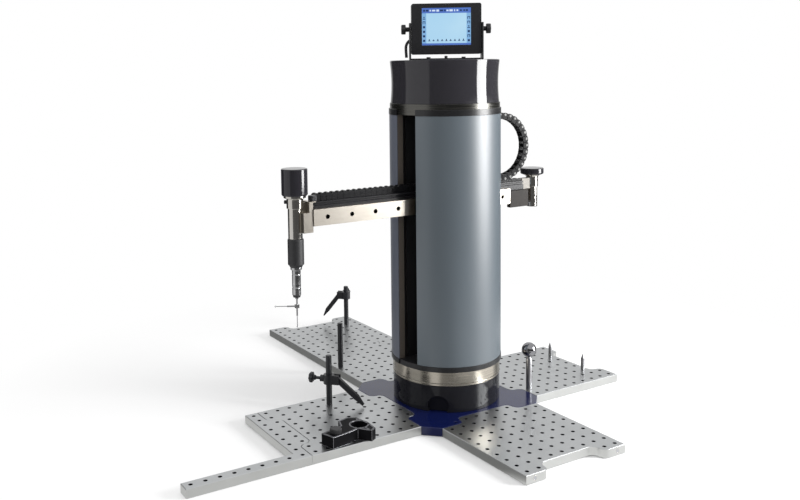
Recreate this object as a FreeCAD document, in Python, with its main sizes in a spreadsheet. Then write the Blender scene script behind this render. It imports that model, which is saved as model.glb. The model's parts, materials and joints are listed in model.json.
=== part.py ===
# Portable coordinate measuring machine on a turning column, in millimetres.
# Origin: on the column's axis, level with the underside of the base plates. Z is up.
# The arm runs along Y through the column; the probe hangs at its -Y end.
import FreeCAD, Part
import Sketcher
import math
import os
import sys
from types import SimpleNamespace
from FreeCAD import Placement, Rotation, Vector

os.makedirs("parts", exist_ok=True)
doc = FreeCAD.newDocument("column_measuring_machine")

# Driving dimensions
sizes = {
    # plates with the grid of tapped holes
    "plate_thick": 16, "hole_pitch": 25, "hole_radius": 2.75, "first_row": 127.5,
    "joint_gap": 0.3, "pin_radius": 4, "pin_length": 15.4, "bar_rows": 8,
    # drum, bearings and turntable
    "drum_inset": 2.8, "drum_bore": 80, "drum_height": 51.2, "edge_chamfer": 1.2,
    "recess_radius": 20, "recess_rise": 11, "recess_depth": 9, "recess_azimuth": -45,
    "ring_inset": 2.2, "seat_height": 4.2, "turn_gap": 0.6, "turntable_height": 22.1,
    "spindle_radius": 25, "spindle_flange": 58, "spindle_foot": 10, "bearing_radius": 40,
    "bearing_width": 14, "fit_gap": 0.05, "sleeve_radius": 56, "hub_flange": 10.2,
    "encoder_radius": 60, "encoder_width": 10, "seat_gap": 0.3, "shell_gap": 0.2,
    # column
    "skin_radius": 108.4, "skin_thick": 1.2, "skin_height": 474.5, "trim_proud": 0.8,
    "trim_height": 12, "slot_left_reach": 6, "slot_right_reach": 43, "strip_width": 4,
    "strip_depth": 12,
    "sheet_thick": 1.5, "sheet_half": 94, "spine_gap": 0.8, "spine_thick": 12, "spine_half": 46,
    "rail_offset": 33, "rail_width": 15, "rail_depth": 10, "rod_radius": 5, "rod_offset": 38,
    "rod_place": -58, "flange_thick": 10, "flange_skirt": 8.6,
    # head on top of the column
    "head_height": 82, "head_inset": 2.2, "head_hollow": 2.8, "head_wall": 3, "head_round": 3,
    # balance of the carriage
    "pulley_radius": 45, "pulley_place": 5, "pulley_rise": 32, "pulley_width": 14,
    "axle_radius": 5, "tape_thick": 0.5, "tape_width": 12, "cheek_thick": 4,
    "weight_low": 215, "weight_height": 185, "weight_near": -28, "weight_far": -84,
    "weight_half": 54, "weight_corner": 14, "weight_slope": 20,
    # carriage and arm
    "arm_height": 406.4, "arm_rail_face": 29, "arm_rail_height": 30, "beam_width": 22,
    "beam_height": 40, "beam_rise": 12, "arm_front": 309, "arm_rear": 186,
    "rail_rear": 142, "last_rail_hole": 15,
    "rail_hole_pitch": 50.4,
    "first_rail_hole": 28, "rail_hole_radius": 4.2, "rail_bore_radius": 2.6,
    "carriage_half": 60, "carriage_thick": 12, "carriage_drop": 48, "carriage_rise": 47,
    "runner_length": 40, "runner_lip": 8, "runner_offset": 35, "lift_runner_length": 35,
    "lift_runner_wing": 9, "lift_runner_height": 18,
    "chain_width": 15, "chain_height": 14, "chain_pitch": 17, "chain_end": 60, "tail_height": 4,
    "loop_rise": 31.9, "loop_height": 13, "loop_width": 16, "loop_place": 21,
    "loop_centre": 122, "loop_start": 84, "boss_drop": 14.2, "boss_length": 16,
    "ledge_thick": 4, "ledge_reach": 104, "ledge_root": 20,
    # probe head at the front end
    "probe_x": 5, "probe_reach": 334, "tube_radius": 13, "collar_radius": 15,
    "tube_drop": 37.2, "collar_rise": 17.6, "flange_rise": 36.3, "flange_radius": 20,
    "flange_height": 4, "cap_radius": 23.5, "cap_height": 48, "grip_radius": 14.6,
    "grip_length": 51.7, "stub_radius": 6, "stub_length": 30, "probe_radius": 7.9,
    "probe_length": 49.9,
    "ring_height": 5, "stylus_gap": 0.9, "cross_drop": 15.7, "cross_half": 3.2,
    "tip_drop": 39.2, "disc_thick": 2, "disc_radius": 3, "pin_reach": 3.6, "tip_radius": 1.6,
    "stem_radius": 1.5, "needle_radius": 0.75,
    "side_length": 38.5, "side_thick": 18, "side_azimuth": 240,
    "bracket_drop": 26, "bracket_depth": 7.7, "bracket_rise": 29, "wrap_depth": 19,
    "wrap_height": 36, "knob_radius": 7.8,
    "knob_height": 10.5, "knob_x": 18.5, "knob_inset": 3,
    # tool holder at the rear end
    "rear_reach": 221.5, "rear_radius": 11, "rear_drop": 30.5, "rear_step_rise": 9.5,
    "rear_top_rise": 36.3,
    "rear_cap_radius": 24, "rear_cap_height": 14, "rear_block_drop": 24, "rear_block_length": 47.7,
    # display
    "display_azimuth": 58, "display_aside": 3.3, "case_width": 134.6, "case_height": 97.4, "case_depth": 26,
    "case_round": 4, "display_lift": 59.4, "screen_width": 93, "screen_height": 71,
    "screen_rise": 4.5, "screen_thick": 1.6, "yoke_thick": 3, "yoke_depth": 30,
    "yoke_gap": 1, "pivot_radius": 3, "dial_radius": 10.4, "dial_thick": 9, "dial_neck": 6,
    # things standing in the plates' holes
    "post_radius": 5.7, "post_height": 98, "post_chamfer": 1, "stud_radius": 2.7,
    "stud_length": 10, "ball_radius": 15, "ball_height": 81.4, "stem_wide": 6,
    "cone_radius": 4, "cone_height": 34.5, "cone_tip": 11,
    "front_level": 51, "left_level": 75, "front_screw_turn": 180, "left_screw_turn": -77,
    "clamp_height": 18, "clamp_wall": 5, "clamp_reach": 17, "pivot_bore": 3,
    "pointer_length": 70, "pointer_width": 12, "pointer_thick": 7, "thumb_radius": 10.5,
    "thumb_thick": 8, "thumb_out": 40, "screw_radius": 3,
    "block_x": 82, "block_y": -254, "block_knob_x": 11, "block_knob_y": -54,
    "block_height": 20, "block_hole": 15, "block_knob_radius": 10.5, "block_knob_height": 9,
}

sheet = doc.addObject("Spreadsheet::Sheet", "Sizes")
for row, (name, number) in enumerate(sizes.items(), start=1):
    sheet.set("A%d" % row, name)
    sheet.set("B%d" % row, str(number))
    sheet.setAlias("B%d" % row, name)
doc.recompute()


class Dim:
    """A size with its number and the spreadsheet expression that gives it."""

    def __init__(self, value, text):
        self.value = float(value)
        self.text = text

    def join(self, other, sign, swap=False):
        other = other if isinstance(other, Dim) else Dim(other, repr(float(other)))
        a, b = (other, self) if swap else (self, other)
        number = {"+": a.value + b.value, "-": a.value - b.value, "*": a.value * b.value,
                  "/": a.value / b.value if b.value else 0.0}[sign]
        return Dim(number, "(%s %s %s)" % (a.text, sign, b.text))

    def __add__(self, other):
        return self.join(other, "+")

    def __radd__(self, other):
        return self.join(other, "+", True)

    def __sub__(self, other):
        return self.join(other, "-")

    def __rsub__(self, other):
        return self.join(other, "-", True)

    def __mul__(self, other):
        return self.join(other, "*")

    def __rmul__(self, other):
        return self.join(other, "*", True)

    def __truediv__(self, other):
        return self.join(other, "/")

    def __neg__(self):
        return Dim(-self.value, "(-1 * %s)" % self.text)


s = SimpleNamespace(**{name: Dim(getattr(sheet, name), "Sizes." + name) for name in sizes})


def number(size):
    return size.value if isinstance(size, Dim) else float(size)


def bind(thing, prop, size):
    """Sets a property and ties it to the spreadsheet when the size comes from there."""
    if isinstance(size, Dim):
        thing.setExpression(prop, size.text)
    elif "." not in prop:
        setattr(thing, prop, size)
    elif size:
        thing.setExpression(prop, repr(float(size)))


def place(thing, x=0, y=0, z=0):
    for axis, size in zip("xyz", (x, y, z)):
        bind(thing, "Placement.Base." + axis, size)
    return thing


def turn(thing, azimuth, tilt=0, at=(0, 0, 0)):
    """Turns a piece about Z, after tipping it about its own Y."""
    spin = Rotation(Vector(0, 0, 1), azimuth) * Rotation(Vector(0, 1, 0), tilt)
    thing.Placement = Placement(Vector(*[number(v) for v in at]), spin)
    return thing


def new_body(label):
    body = doc.addObject("PartDesign::Body", label)
    body.Label = label
    return body


def new_sketch(body, role="XY_Plane"):
    sketch = body.newObject("Sketcher::SketchObject", body.Name + "_sketch")
    plane = [part for part in body.Origin.OriginFeatures if part.Role == role][0]
    sketch.AttachmentSupport = (plane, [""])
    sketch.MapMode = "FlatFace"
    return sketch


def outline(sketch, points, arcs=None):
    """Draws a closed outline. arcs gives the radius of the edge after a point,
    positive where the edge turns anticlockwise."""
    arcs = arcs or {}
    first = sketch.GeometryCount
    ends = []
    flat = [Vector(number(x), number(y), 0) for x, y in points]
    for i, start in enumerate(flat):
        stop = flat[(i + 1) % len(flat)]
        if i not in arcs:
            sketch.addGeometry(Part.LineSegment(start, stop), False)
            ends.append((1, 2))
            continue
        radius = abs(number(arcs[i]))
        chord = stop - start
        rise = math.sqrt(max(radius ** 2 - chord.Length ** 2 / 4, 0))
        side = 1 if number(arcs[i]) > 0 else -1
        centre = (start + stop) / 2 + Vector(-chord.y, chord.x, 0).normalize() * rise * side
        angles = [math.atan2(p.y - centre.y, p.x - centre.x) for p in (start, stop)]
        circle = Part.Circle(centre, Vector(0, 0, 1), radius)
        sketch.addGeometry(Part.ArcOfCircle(circle, *angles[::side]), False)
        ends.append((1, 2)[::side])
    for i in range(len(flat)):
        after = (i + 1) % len(flat)
        sketch.addConstraint(Sketcher.Constraint(
            "Coincident", first + i, ends[i][1], first + after, ends[after][0]))
    for i, point in enumerate(points):
        for kind, size in zip(("DistanceX", "DistanceY"), point):
            index = sketch.addConstraint(Sketcher.Constraint(
                kind, -1, 1, first + i, ends[i][0], number(size)))
            if isinstance(size, Dim):
                sketch.setExpression("Constraints[%d]" % index, size.text)
    return sketch


def circle(sketch, x, y, radius):
    index = sketch.addGeometry(Part.Circle(Vector(number(x), number(y), 0), Vector(0, 0, 1),
                                           number(radius)), False)
    for kind, size in (("DistanceX", x), ("DistanceY", y)):
        at = sketch.addConstraint(Sketcher.Constraint(kind, -1, 1, index, 3, number(size)))
        if isinstance(size, Dim):
            sketch.setExpression("Constraints[%d]" % at, size.text)
    at = sketch.addConstraint(Sketcher.Constraint("Radius", index, number(radius)))
    if isinstance(radius, Dim):
        sketch.setExpression("Constraints[%d]" % at, radius.text)


def pad(body, sketch, length):
    feature = body.newObject("PartDesign::Pad", body.Name + "_pad")
    feature.Profile = sketch
    bind(feature, "Length", length)
    return feature


def pocket(body, sketch, depth):
    """Cuts to a depth along the sketch's normal, upwards from the XY plane."""
    feature = body.newObject("PartDesign::Pocket", body.Name + "_pocket")
    feature.Profile = sketch
    feature.Reversed = True
    bind(feature, "Length", depth)
    return feature


def extruded(label, points, low, high, x=0, y=0, arcs=None, holes=(), final=True):
    """A flat outline raised from low to high, with round holes through it."""
    body = new_body(label)
    sketch = outline(new_sketch(body), points, arcs)
    for hole in holes:
        circle(sketch, *hole)
    pad(body, sketch, high - low)
    return keep(place(body, x, y, low)) if final else place(body, x, y, low)


def turned(label, points, x=0, y=0, z=0, arcs=None, angle=360, start=0, final=True):
    """A profile of radius and height turned about Z."""
    body = new_body(label)
    sketch = outline(new_sketch(body, "XZ_Plane"), points, arcs)
    feature = body.newObject("PartDesign::Revolution", label + "_turned")
    feature.Profile = sketch
    feature.ReferenceAxis = (sketch, ["V_Axis"])
    feature.Angle = angle
    if start:
        turn(body, start)
    place(body, x, y, z)
    return keep(body) if final else body


def box(label, x, y, z):
    piece = doc.addObject("Part::Box", label)
    for prop, (low, high) in zip(("Length", "Width", "Height"), (x, y, z)):
        bind(piece, prop, high - low)
    return place(piece, x[0], y[0], z[0])


def cylinder(label, centre, radius, length, along="z"):
    piece = doc.addObject("Part::Cylinder", label)
    bind(piece, "Radius", radius)
    bind(piece, "Height", length)
    axis = {"x": (Vector(0, 1, 0), 90), "y": (Vector(1, 0, 0), -90), "z": (Vector(0, 0, 1), 0)}
    piece.Placement = Placement(Vector(), Rotation(*axis[along]))
    return place(piece, *centre)


def fuse(label, *pieces):
    piece = doc.addObject("Part::MultiFuse", label)
    piece.Shapes = list(pieces)
    return piece


def cut(label, base, *tools):
    piece = doc.addObject("Part::Cut", label)
    piece.Base = base
    piece.Tool = tools[0] if len(tools) == 1 else fuse(label + "_tools", *tools)
    return piece


def group(label, *pieces):
    """Separate solids that share one name."""
    piece = doc.addObject("Part::Compound", label)
    piece.Links = list(pieces)
    return keep(piece)


kept = {}


def keep(piece, label=None):
    """Names a finished piece of the machine."""
    piece.Label = label or piece.Label
    kept[piece.Label] = piece
    return piece


# Plates
pitch = s.hole_pitch
step = pitch / 2
top = s.plate_thick


def step_in(side, deep, wide, gap):
    """Corner points of an S-shaped step: across the end, then out to the shoulder."""
    return [(deep + gap, side * wide), (deep + step, side * (wide + step - gap)),
            (deep + pitch + gap, side * (wide + pitch))]


def module_outline():
    """A grid plate along +X: a tongue in front, two tabs and a recess behind."""
    tongue = s.first_row - step
    tail = s.first_row + pitch * 8.5
    gap = s.joint_gap
    half = pitch * 4.5
    left = step_in(1, tongue, pitch * 2, gap)
    far = step_in(1, tail, pitch * 2, 0)
    upper = left + [(tongue + pitch + gap, half), (tail + pitch, half)] + far[::-1]
    mirror = [(x, -y) for x, y in upper[::-1]]
    small, large = step - gap, step + gap
    arcs = {0: -small, 1: large, 5: -step, 6: step, 8: step, 9: -step, 13: large, 14: -small}
    return upper + mirror, arcs


def hole_places(rows):
    """Grid holes: five in the tongue, nine in each full row, four in the tabs."""
    spots = []
    for row in rows:
        for lane in range(-4, 5):
            if (row == 0 and abs(lane) > 2) or (row == 9 and abs(lane) < 3):
                continue
            spots.append((row, lane))
    return spots


def grid_plate():
    """The standard module, drawn once along +X."""
    body = new_body("grid_module")
    points, arcs = module_outline()
    sketch = outline(new_sketch(body), points, arcs)
    pad(body, sketch, s.plate_thick)
    holes = new_sketch(body)
    for row, lane in hole_places(range(10)):
        spot = Vector(number(s.first_row) + number(pitch) * row, number(pitch) * lane, 0)
        holes.addGeometry(Part.Circle(spot, Vector(0, 0, 1), number(s.hole_radius)), False)
    pocket(body, holes, s.plate_thick)
    return body


pin_lane = pitch * 3.75
pin_half = s.pin_length / 2
pin_hole = s.pin_radius + s.fit_gap
pin_level = s.plate_thick / 2
shoulder = s.first_row + step
tab_end = s.first_row + pitch * 9.5


def pin_holes(label, *faces):
    """Dowel holes in the end faces, at both sides of the plate."""
    tools = []
    for n, face in enumerate(faces):
        for side in (-1, 1):
            tools.append(cylinder("%s_pin%d%d" % (label, n, side + 1),
                                  (face - pin_half, pin_lane * side, pin_level),
                                  pin_hole, s.pin_length, "x"))
    return tools


module = cut("grid_module_drilled", grid_plate(), *pin_holes("module", shoulder, tab_end))
doc.recompute()


def plate_copy(label, azimuth, out=0.0):
    piece = doc.addObject("Part::Feature", label)
    piece.Shape = module.Shape.copy()
    angle = math.radians(azimuth)
    piece.Placement = Placement(Vector(math.cos(angle) * out, math.sin(angle) * out, 0),
                                Rotation(Vector(0, 0, 1), azimuth))
    return keep(piece)


right_azimuth, front_azimuth, left_azimuth, rear_azimuth = 0, -90, 180, 90
module_step = number(pitch) * 9
plate_copy("grid_plate_right", right_azimuth)
plate_copy("grid_plate_front", front_azimuth)
plate_copy("grid_plate_left", left_azimuth)
plate_copy("grid_plate_left_outer", left_azimuth, module_step)
plate_copy("grid_plate_rear", rear_azimuth)


def extension_plate():
    """Short plate with a bar along one side, hooked into the front plate's recess."""
    gap = s.joint_gap
    start = s.first_row + pitch * 8.5
    end = start + pitch * 2
    half = pitch * 4.5
    bar = half - pitch
    reach = end + pitch * s.bar_rows
    left = step_in(1, start, pitch * 2, gap)
    points = left + [(start + pitch + gap, half), (reach, half), (reach, bar), (end, bar),
                     (end, -half), (start + pitch + gap, -half)]
    points += [(x, -y) for x, y in left[::-1]]
    small, large = step - gap, step + gap
    body = new_body("extension_blank")
    sketch = outline(new_sketch(body), points, {0: -small, 1: large, 9: large, 10: -small})
    pad(body, sketch, s.plate_thick)
    holes = new_sketch(body)
    rows = [(9, lane) for lane in range(-2, 3)] + [(10, lane) for lane in range(-4, 5)]
    rows += [(11 + n, 4) for n in range(int(number(s.bar_rows)))]
    for row, lane in rows:
        spot = Vector(number(s.first_row) + number(pitch) * row, number(pitch) * lane, 0)
        holes.addGeometry(Part.Circle(spot, Vector(0, 0, 1), number(s.hole_radius)), False)
    pocket(body, holes, s.plate_thick)
    return cut("grid_plate_extension", body, *pin_holes("extension", tab_end))


keep(turn(extension_plate(), front_azimuth))


def base_plate():
    """Centre plate: four recesses for the modules' tongues and four cut corners."""
    half = pitch * 4.5
    edge = s.first_row + step
    floor = s.first_row - step
    side = [(edge, -half)] + [(x, -y) for x, y in step_in(1, floor, pitch * 2, 0)[::-1]]
    side += step_in(1, floor, pitch * 2, 0) + [(edge, half)]
    points, arcs = [], {}
    for quarter in range(4):
        first = len(points)
        for x, y in side:
            for spin in range(quarter):
                x, y = -y, x
            points.append((x, y))
        arcs.update({first + 1: step, first + 2: -step, first + 4: -step, first + 5: step})
    body = new_body("base_blank")
    sketch = outline(new_sketch(body), points, arcs)
    for side in (-1, 1):
        circle(sketch, (edge - step * 0.8) * side, -pitch * 3 * side, s.hole_radius)
    pad(body, sketch, s.plate_thick)
    tools = []
    for n, azimuth in enumerate((0, 90, 180, 270)):
        for side_sign in (-1, 1):
            angle = math.radians(azimuth)
            tool = cylinder("base_pin%d%d" % (n, side_sign + 1), (0, 0, 0), pin_hole,
                            s.pin_length, "x")
            reach, lane = number(edge) - number(pin_half), number(pin_lane) * side_sign
            spot = Vector(reach * math.cos(angle) - lane * math.sin(angle),
                          reach * math.sin(angle) + lane * math.cos(angle), number(pin_level))
            tool.Placement = Placement(spot, Rotation(Vector(0, 0, 1), azimuth)
                                       * Rotation(Vector(0, 1, 0), 90))
            tools.append(tool)
    return keep(cut("base_plate", body, *tools))


base_plate()


def joining_pins():
    """Dowels between the base plate and the modules, and between chained modules."""
    pins = []
    half_gap = number(s.joint_gap) / 2
    joints = [(azimuth, number(shoulder)) for azimuth in (0, 90, 180, 270)]
    joints += [(left_azimuth, number(tab_end)), (front_azimuth, number(tab_end))]
    for n, (azimuth, reach) in enumerate(joints):
        for side in (-1, 1):
            angle = math.radians(azimuth)
            pin = doc.addObject("Part::Cylinder", "pin%d%d" % (n, side + 1))
            bind(pin, "Radius", s.pin_radius)
            bind(pin, "Height", s.pin_length - s.joint_gap)
            out = reach - number(pin_half) + half_gap
            lane = number(pin_lane) * side
            spot = Vector(out * math.cos(angle) - lane * math.sin(angle),
                          out * math.sin(angle) + lane * math.cos(angle), number(pin_level))
            pin.Placement = Placement(spot, Rotation(Vector(0, 0, 1), azimuth)
                                      * Rotation(Vector(0, 1, 0), 90))
            pins.append(pin)
    group("joining_pins", *pins)


joining_pins()

# Drum, spindle and bearings
drum_top = top + s.drum_height
seat_top = drum_top + s.seat_height
table_low = seat_top + s.turn_gap
table_top = table_low + s.turntable_height
column_low = table_top + s.hub_flange
bevel = s.edge_chamfer

drum_radius = s.skin_radius - s.drum_inset
ring_radius = s.skin_radius - s.ring_inset
drum = turned("drum_blank", [(s.drum_bore, top), (drum_radius, top), (drum_radius, drum_top - bevel),
                             (drum_radius - bevel, drum_top), (s.drum_bore, drum_top)], final=False)
recess = cylinder("drum_recess", (0, 0, 0), s.recess_radius, s.recess_depth * 2)
recess_angle = math.radians(number(s.recess_azimuth))
recess_start = number(drum_radius) - number(s.recess_depth)
recess.Placement = Placement(Vector(recess_start * math.cos(recess_angle),
                                    recess_start * math.sin(recess_angle),
                                    number(top) + number(s.recess_rise)),
                             Rotation(Vector(0, 0, 1), number(s.recess_azimuth))
                             * Rotation(Vector(0, 1, 0), 90))
keep(cut("base_drum", drum, recess))
turned("bearing_seat_ring", [(s.drum_bore, drum_top), (ring_radius, drum_top),
                             (ring_radius, seat_top), (s.drum_bore, seat_top)])
foot_top = top + s.spindle_foot
spindle_top = column_low - s.turn_gap
turned("spindle", [(0, top), (s.spindle_flange, top), (s.spindle_flange, foot_top),
                   (s.spindle_radius + bevel, foot_top), (s.spindle_radius, foot_top + bevel),
                   (s.spindle_radius, spindle_top), (0, spindle_top)])


def bearing(label, low):
    inner, outer = s.spindle_radius, s.bearing_radius
    high = low + s.bearing_width
    return turned(label, [(inner, low), (outer, low), (outer, high), (inner, high)], final=False)


bearing_low = foot_top + bevel * 2
group("main_bearings", bearing("lower_bearing", bearing_low),
      bearing("upper_bearing", spindle_top - s.bearing_width))

# Turntable, which carries the column
bore = s.bearing_radius + s.fit_gap
hub_low = bearing_low
turned("turntable_hub", [(bore, hub_low), (s.sleeve_radius, hub_low),
                         (s.sleeve_radius, table_top), (s.skin_radius - s.skin_thick - s.shell_gap, table_top),
                         (s.skin_radius - s.skin_thick - s.shell_gap, column_low),
                         (bore, column_low)])
turned("turntable_ring", [(s.sleeve_radius, table_low), (ring_radius - bevel / 2, table_low),
                          (ring_radius, table_low + bevel / 2), (ring_radius, table_top),
                          (s.sleeve_radius, table_top)])
encoder_low = foot_top + s.encoder_width
turned("angle_ring", [(s.sleeve_radius, encoder_low), (s.encoder_radius, encoder_low),
                      (s.encoder_radius, encoder_low + s.encoder_width),
                      (s.sleeve_radius, encoder_low + s.encoder_width)])

# Column: two curved skins with a slot between them at each side of the arm
skin_in = s.skin_radius - s.skin_thick
skin_top = column_low + s.skin_height
trim_out = s.skin_radius + s.trim_proud
flange_low = skin_top + s.trim_height
slot_angle = math.degrees(math.acos(number(s.slot_right_reach) / number(s.skin_radius)))
left_angle = math.degrees(math.acos(number(s.slot_left_reach) / number(s.skin_radius)))


def ring_profile(inner, outer, low, high):
    return [(inner, low), (outer, low), (outer, high), (inner, high)]


skin = ring_profile(skin_in, s.skin_radius, column_low + s.seat_gap / 3, skin_top)
turned("right_skin", skin, angle=2 * slot_angle, start=-slot_angle)
turned("left_skin", skin, angle=2 * left_angle, start=180 - left_angle)
trims = []
for side, angle, start in (("right", slot_angle, -slot_angle), ("left", left_angle, 180 - left_angle)):
    for end, low, high in (("low", table_top + s.seat_gap, column_low),
                           ("top", skin_top, flange_low - s.seat_gap)):
        trims.append(turned("%s_trim_%s" % (side, end), ring_profile(skin_in, trim_out, low, high),
                            angle=2 * angle, start=start, final=False))
group("skin_trims", *trims)

column_span = (column_low, flange_low)
skirt_low = flange_low - s.trim_height + s.edge_chamfer
strips = []
strip_right = s.slot_right_reach + s.seat_gap
strip_left = -s.slot_left_reach - s.seat_gap
for n, (near, far) in enumerate(((strip_right, strip_right + s.strip_width),
                                 (strip_left - s.strip_width, strip_left))):
    outer = near if number(near) < 0 else far
    reach = math.sqrt(number(skin_in) ** 2 - number(outer) ** 2) - number(s.seat_gap)
    for side in (-1, 1):
        ends = (reach - number(s.strip_depth), reach)
        span = ends if side > 0 else (-ends[1], -ends[0])
        strips.append(box("slot_strip_%d%d" % (n, side + 1), (near, far),
                          (Dim(span[0], repr(span[0])), Dim(span[1], repr(span[1]))),
                          (column_low, skirt_low)))
group("slot_edge_strips", *strips)

sheet_far = strip_left - s.strip_width - s.shell_gap
keep(box("inner_sheet", (sheet_far - s.sheet_thick, sheet_far), (-s.sheet_half, s.sheet_half),
         (column_low, flange_low - s.turn_gap * 2)))
spine_reach = math.sqrt(number(skin_in) ** 2 - number(s.spine_half) ** 2) - number(s.spine_gap)
spine_far = Dim(spine_reach, repr(spine_reach))
spine_near = spine_far - s.spine_thick
keep(box("spine", (spine_near, spine_far), (-s.spine_half, s.spine_half), (column_low, skirt_low)))

rail_near = spine_near - s.rail_depth
rails = []
for side in (-1, 1):
    middle = s.rail_offset * side
    rails.append(box("lift_rail_%d" % (side + 1), (rail_near, spine_near),
                     (middle - s.rail_width / 2, middle + s.rail_width / 2), column_span))
    rails.append(cylinder("weight_rod_%d" % (side + 1), (s.rod_place, s.rod_offset * side, column_low),
                          s.rod_radius, flange_low - column_low))
group("guide_rails", *rails)

# Top flange: a skirt inside the skins, a boss for the cable chain, and the pulley's two cheeks
flange_top = flange_low + s.flange_thick
flange_out = skin_in - s.shell_gap
skirt_in = flange_out - s.flange_skirt
slot_half = s.pulley_width / 2 + 2
loop_low = s.arm_height + s.loop_rise
loop_top = flange_low - s.boss_drop
loop_radius = (loop_top - loop_low) / 2
pulley_z = flange_top + s.pulley_rise
blank = turned("flange_blank", [(0, flange_low), (skirt_in, flange_low),
                                (skirt_in, skirt_low), (flange_out, skirt_low),
                                (flange_out, flange_top), (0, flange_top)], final=False)
boss = box("chain_boss", (s.loop_place - s.loop_width / 2, s.loop_place + s.loop_width / 2),
           (s.loop_start, s.loop_start + s.boss_length), (loop_top + s.seat_gap, flange_low + 1))
pulley_slot = box("pulley_slot", (s.pulley_place - s.pulley_radius - 4, s.pulley_place + s.pulley_radius + 4),
                  (-slot_half, slot_half), (flange_low - 1, flange_top + 1))
cheek_near = s.pulley_width / 2 + 2.5
cheek_far = cheek_near + s.cheek_thick
cheeks = [box("cheek_%d" % (side + 1), (s.pulley_place - 15, s.pulley_place + 15),
              tuple(sorted((cheek_near * side, cheek_far * side), key=number)),
              (flange_top - 1, pulley_z + 12)) for side in (-1, 1)]
axle = cylinder("axle", (s.pulley_place, -(cheek_far + 2), pulley_z), s.axle_radius,
                (cheek_far + 2) * 2, "y")
keep(fuse("top_flange", cut("flange_bored", fuse("flange_solid", blank, boss), pulley_slot),
          *cheeks, axle))

# Head cover: a turned cap with slightly hollow sides
head_low = flange_top
head_top = head_low + s.head_height
wall = s.head_wall
middle = head_low + s.head_height / 2
head_radius = s.skin_radius - s.head_inset
head_waist = head_radius - s.head_hollow
turned("head_cover", [(head_radius - 0.6, head_low), (head_waist, middle),
                      (head_radius, head_top - s.head_round), (head_radius - s.head_round, head_top),
                      (0, head_top), (0, head_top - wall), (head_waist - wall - 6, head_top - wall),
                      (head_waist - wall, head_top - wall - 6), (head_waist - wall, head_low)],
       arcs={0: -s.head_height * 3.2, 1: -s.head_height * 3.2, 2: s.head_round})

# Balance: pulley, steel tape and weight
pulley_hub = cylinder("pulley_disc", (s.pulley_place, -s.pulley_width / 2, pulley_z),
                      s.pulley_radius, s.pulley_width, "y")
holes = [cylinder("pulley_bore", (s.pulley_place, -s.pulley_width, pulley_z),
                  s.axle_radius + s.fit_gap, s.pulley_width * 2, "y")]
for n in range(6):
    angle = math.radians(60 * n)
    holes.append(cylinder("pulley_hole_%d" % n,
                          (s.pulley_place + s.pulley_radius * 0.56 * math.cos(angle), -s.pulley_width,
                           pulley_z + s.pulley_radius * 0.56 * math.sin(angle)),
                          s.pulley_radius * 0.2, s.pulley_width * 2, "y"))
keep(cut("balance_pulley", pulley_hub, *holes))

carriage_top = s.arm_height + s.carriage_rise
weight_top = s.weight_low + s.weight_height
tape_in = s.pulley_radius + s.seat_gap
tape_out = tape_in + s.tape_thick
tape_body = new_body("balance_tape")
tape_sketch = outline(new_sketch(tape_body, "XZ_Plane"), [
    (s.pulley_place + tape_out, carriage_top + s.seat_gap), (s.pulley_place + tape_out, pulley_z),
    (s.pulley_place, pulley_z + tape_out),
    (s.pulley_place - tape_out, pulley_z), (s.pulley_place - tape_out, weight_top + s.seat_gap),
    (s.pulley_place - tape_in, weight_top + s.seat_gap), (s.pulley_place - tape_in, pulley_z),
    (s.pulley_place, pulley_z + tape_in),
    (s.pulley_place + tape_in, pulley_z), (s.pulley_place + tape_in, carriage_top + s.seat_gap)],
    arcs={1: tape_out, 2: tape_out, 6: -tape_in, 7: -tape_in})
pad(tape_body, tape_sketch, s.tape_width)
keep(place(tape_body, 0, s.tape_width / 2, 0))

weight_side, weight_back = s.weight_half - s.weight_corner, s.weight_far + s.weight_slope
extruded("counterweight", [(s.weight_far, -weight_side), (weight_back, -s.weight_half),
                           (s.weight_near, -s.weight_half), (s.weight_near, s.weight_half),
                           (weight_back, s.weight_half), (s.weight_far, weight_side)],
         s.weight_low, weight_top,
         holes=[(s.rod_place, s.rod_offset * side, s.rod_radius + s.shell_gap / 2)
                for side in (-1, 1)])

# Carriage, which rides up and down on the spine and guides the arm
arm = s.arm_height
plate_far = rail_near - s.lift_runner_height
plate_near = plate_far - s.carriage_thick
beam_top = arm + s.arm_rail_height / 2 + s.beam_rise
plate = box("carriage_slab", (plate_near, plate_far), (-s.carriage_half, s.carriage_half),
            (arm - s.carriage_drop, carriage_top))
ledge_span = (loop_low - s.seat_gap - s.ledge_thick, loop_low - s.seat_gap)
ledge_side = (s.loop_place - s.loop_width / 2, s.loop_place + s.loop_width / 2)
ledge_start = s.carriage_half - s.ledge_root
root = box("ledge_root", (ledge_side[0], plate_near + 1), (ledge_start, s.carriage_half), ledge_span)
ledge = box("chain_ledge", ledge_side, (ledge_start, s.ledge_reach), ledge_span)
keep(fuse("carriage_plate", plate, root, ledge))

rail_in = s.arm_rail_face - s.rail_depth
half_rail = s.arm_rail_height / 2
arm_runners = []
for side in (-1, 1):
    middle = s.runner_offset * side
    block = box("arm_runner_block_%d" % (side + 1), (rail_in + 2, plate_near),
                (middle - s.runner_length / 2, middle + s.runner_length / 2),
                (arm - half_rail - s.runner_lip, arm + half_rail + s.runner_lip))
    groove = box("arm_runner_groove_%d" % (side + 1), (rail_in, s.arm_rail_face + s.seat_gap),
                 (middle - s.runner_length, middle + s.runner_length),
                 (arm - half_rail - s.seat_gap, arm + half_rail + s.seat_gap))
    arm_runners.append(cut("arm_runner_%d" % (side + 1), block, groove))
group("arm_runners", *arm_runners)

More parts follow.
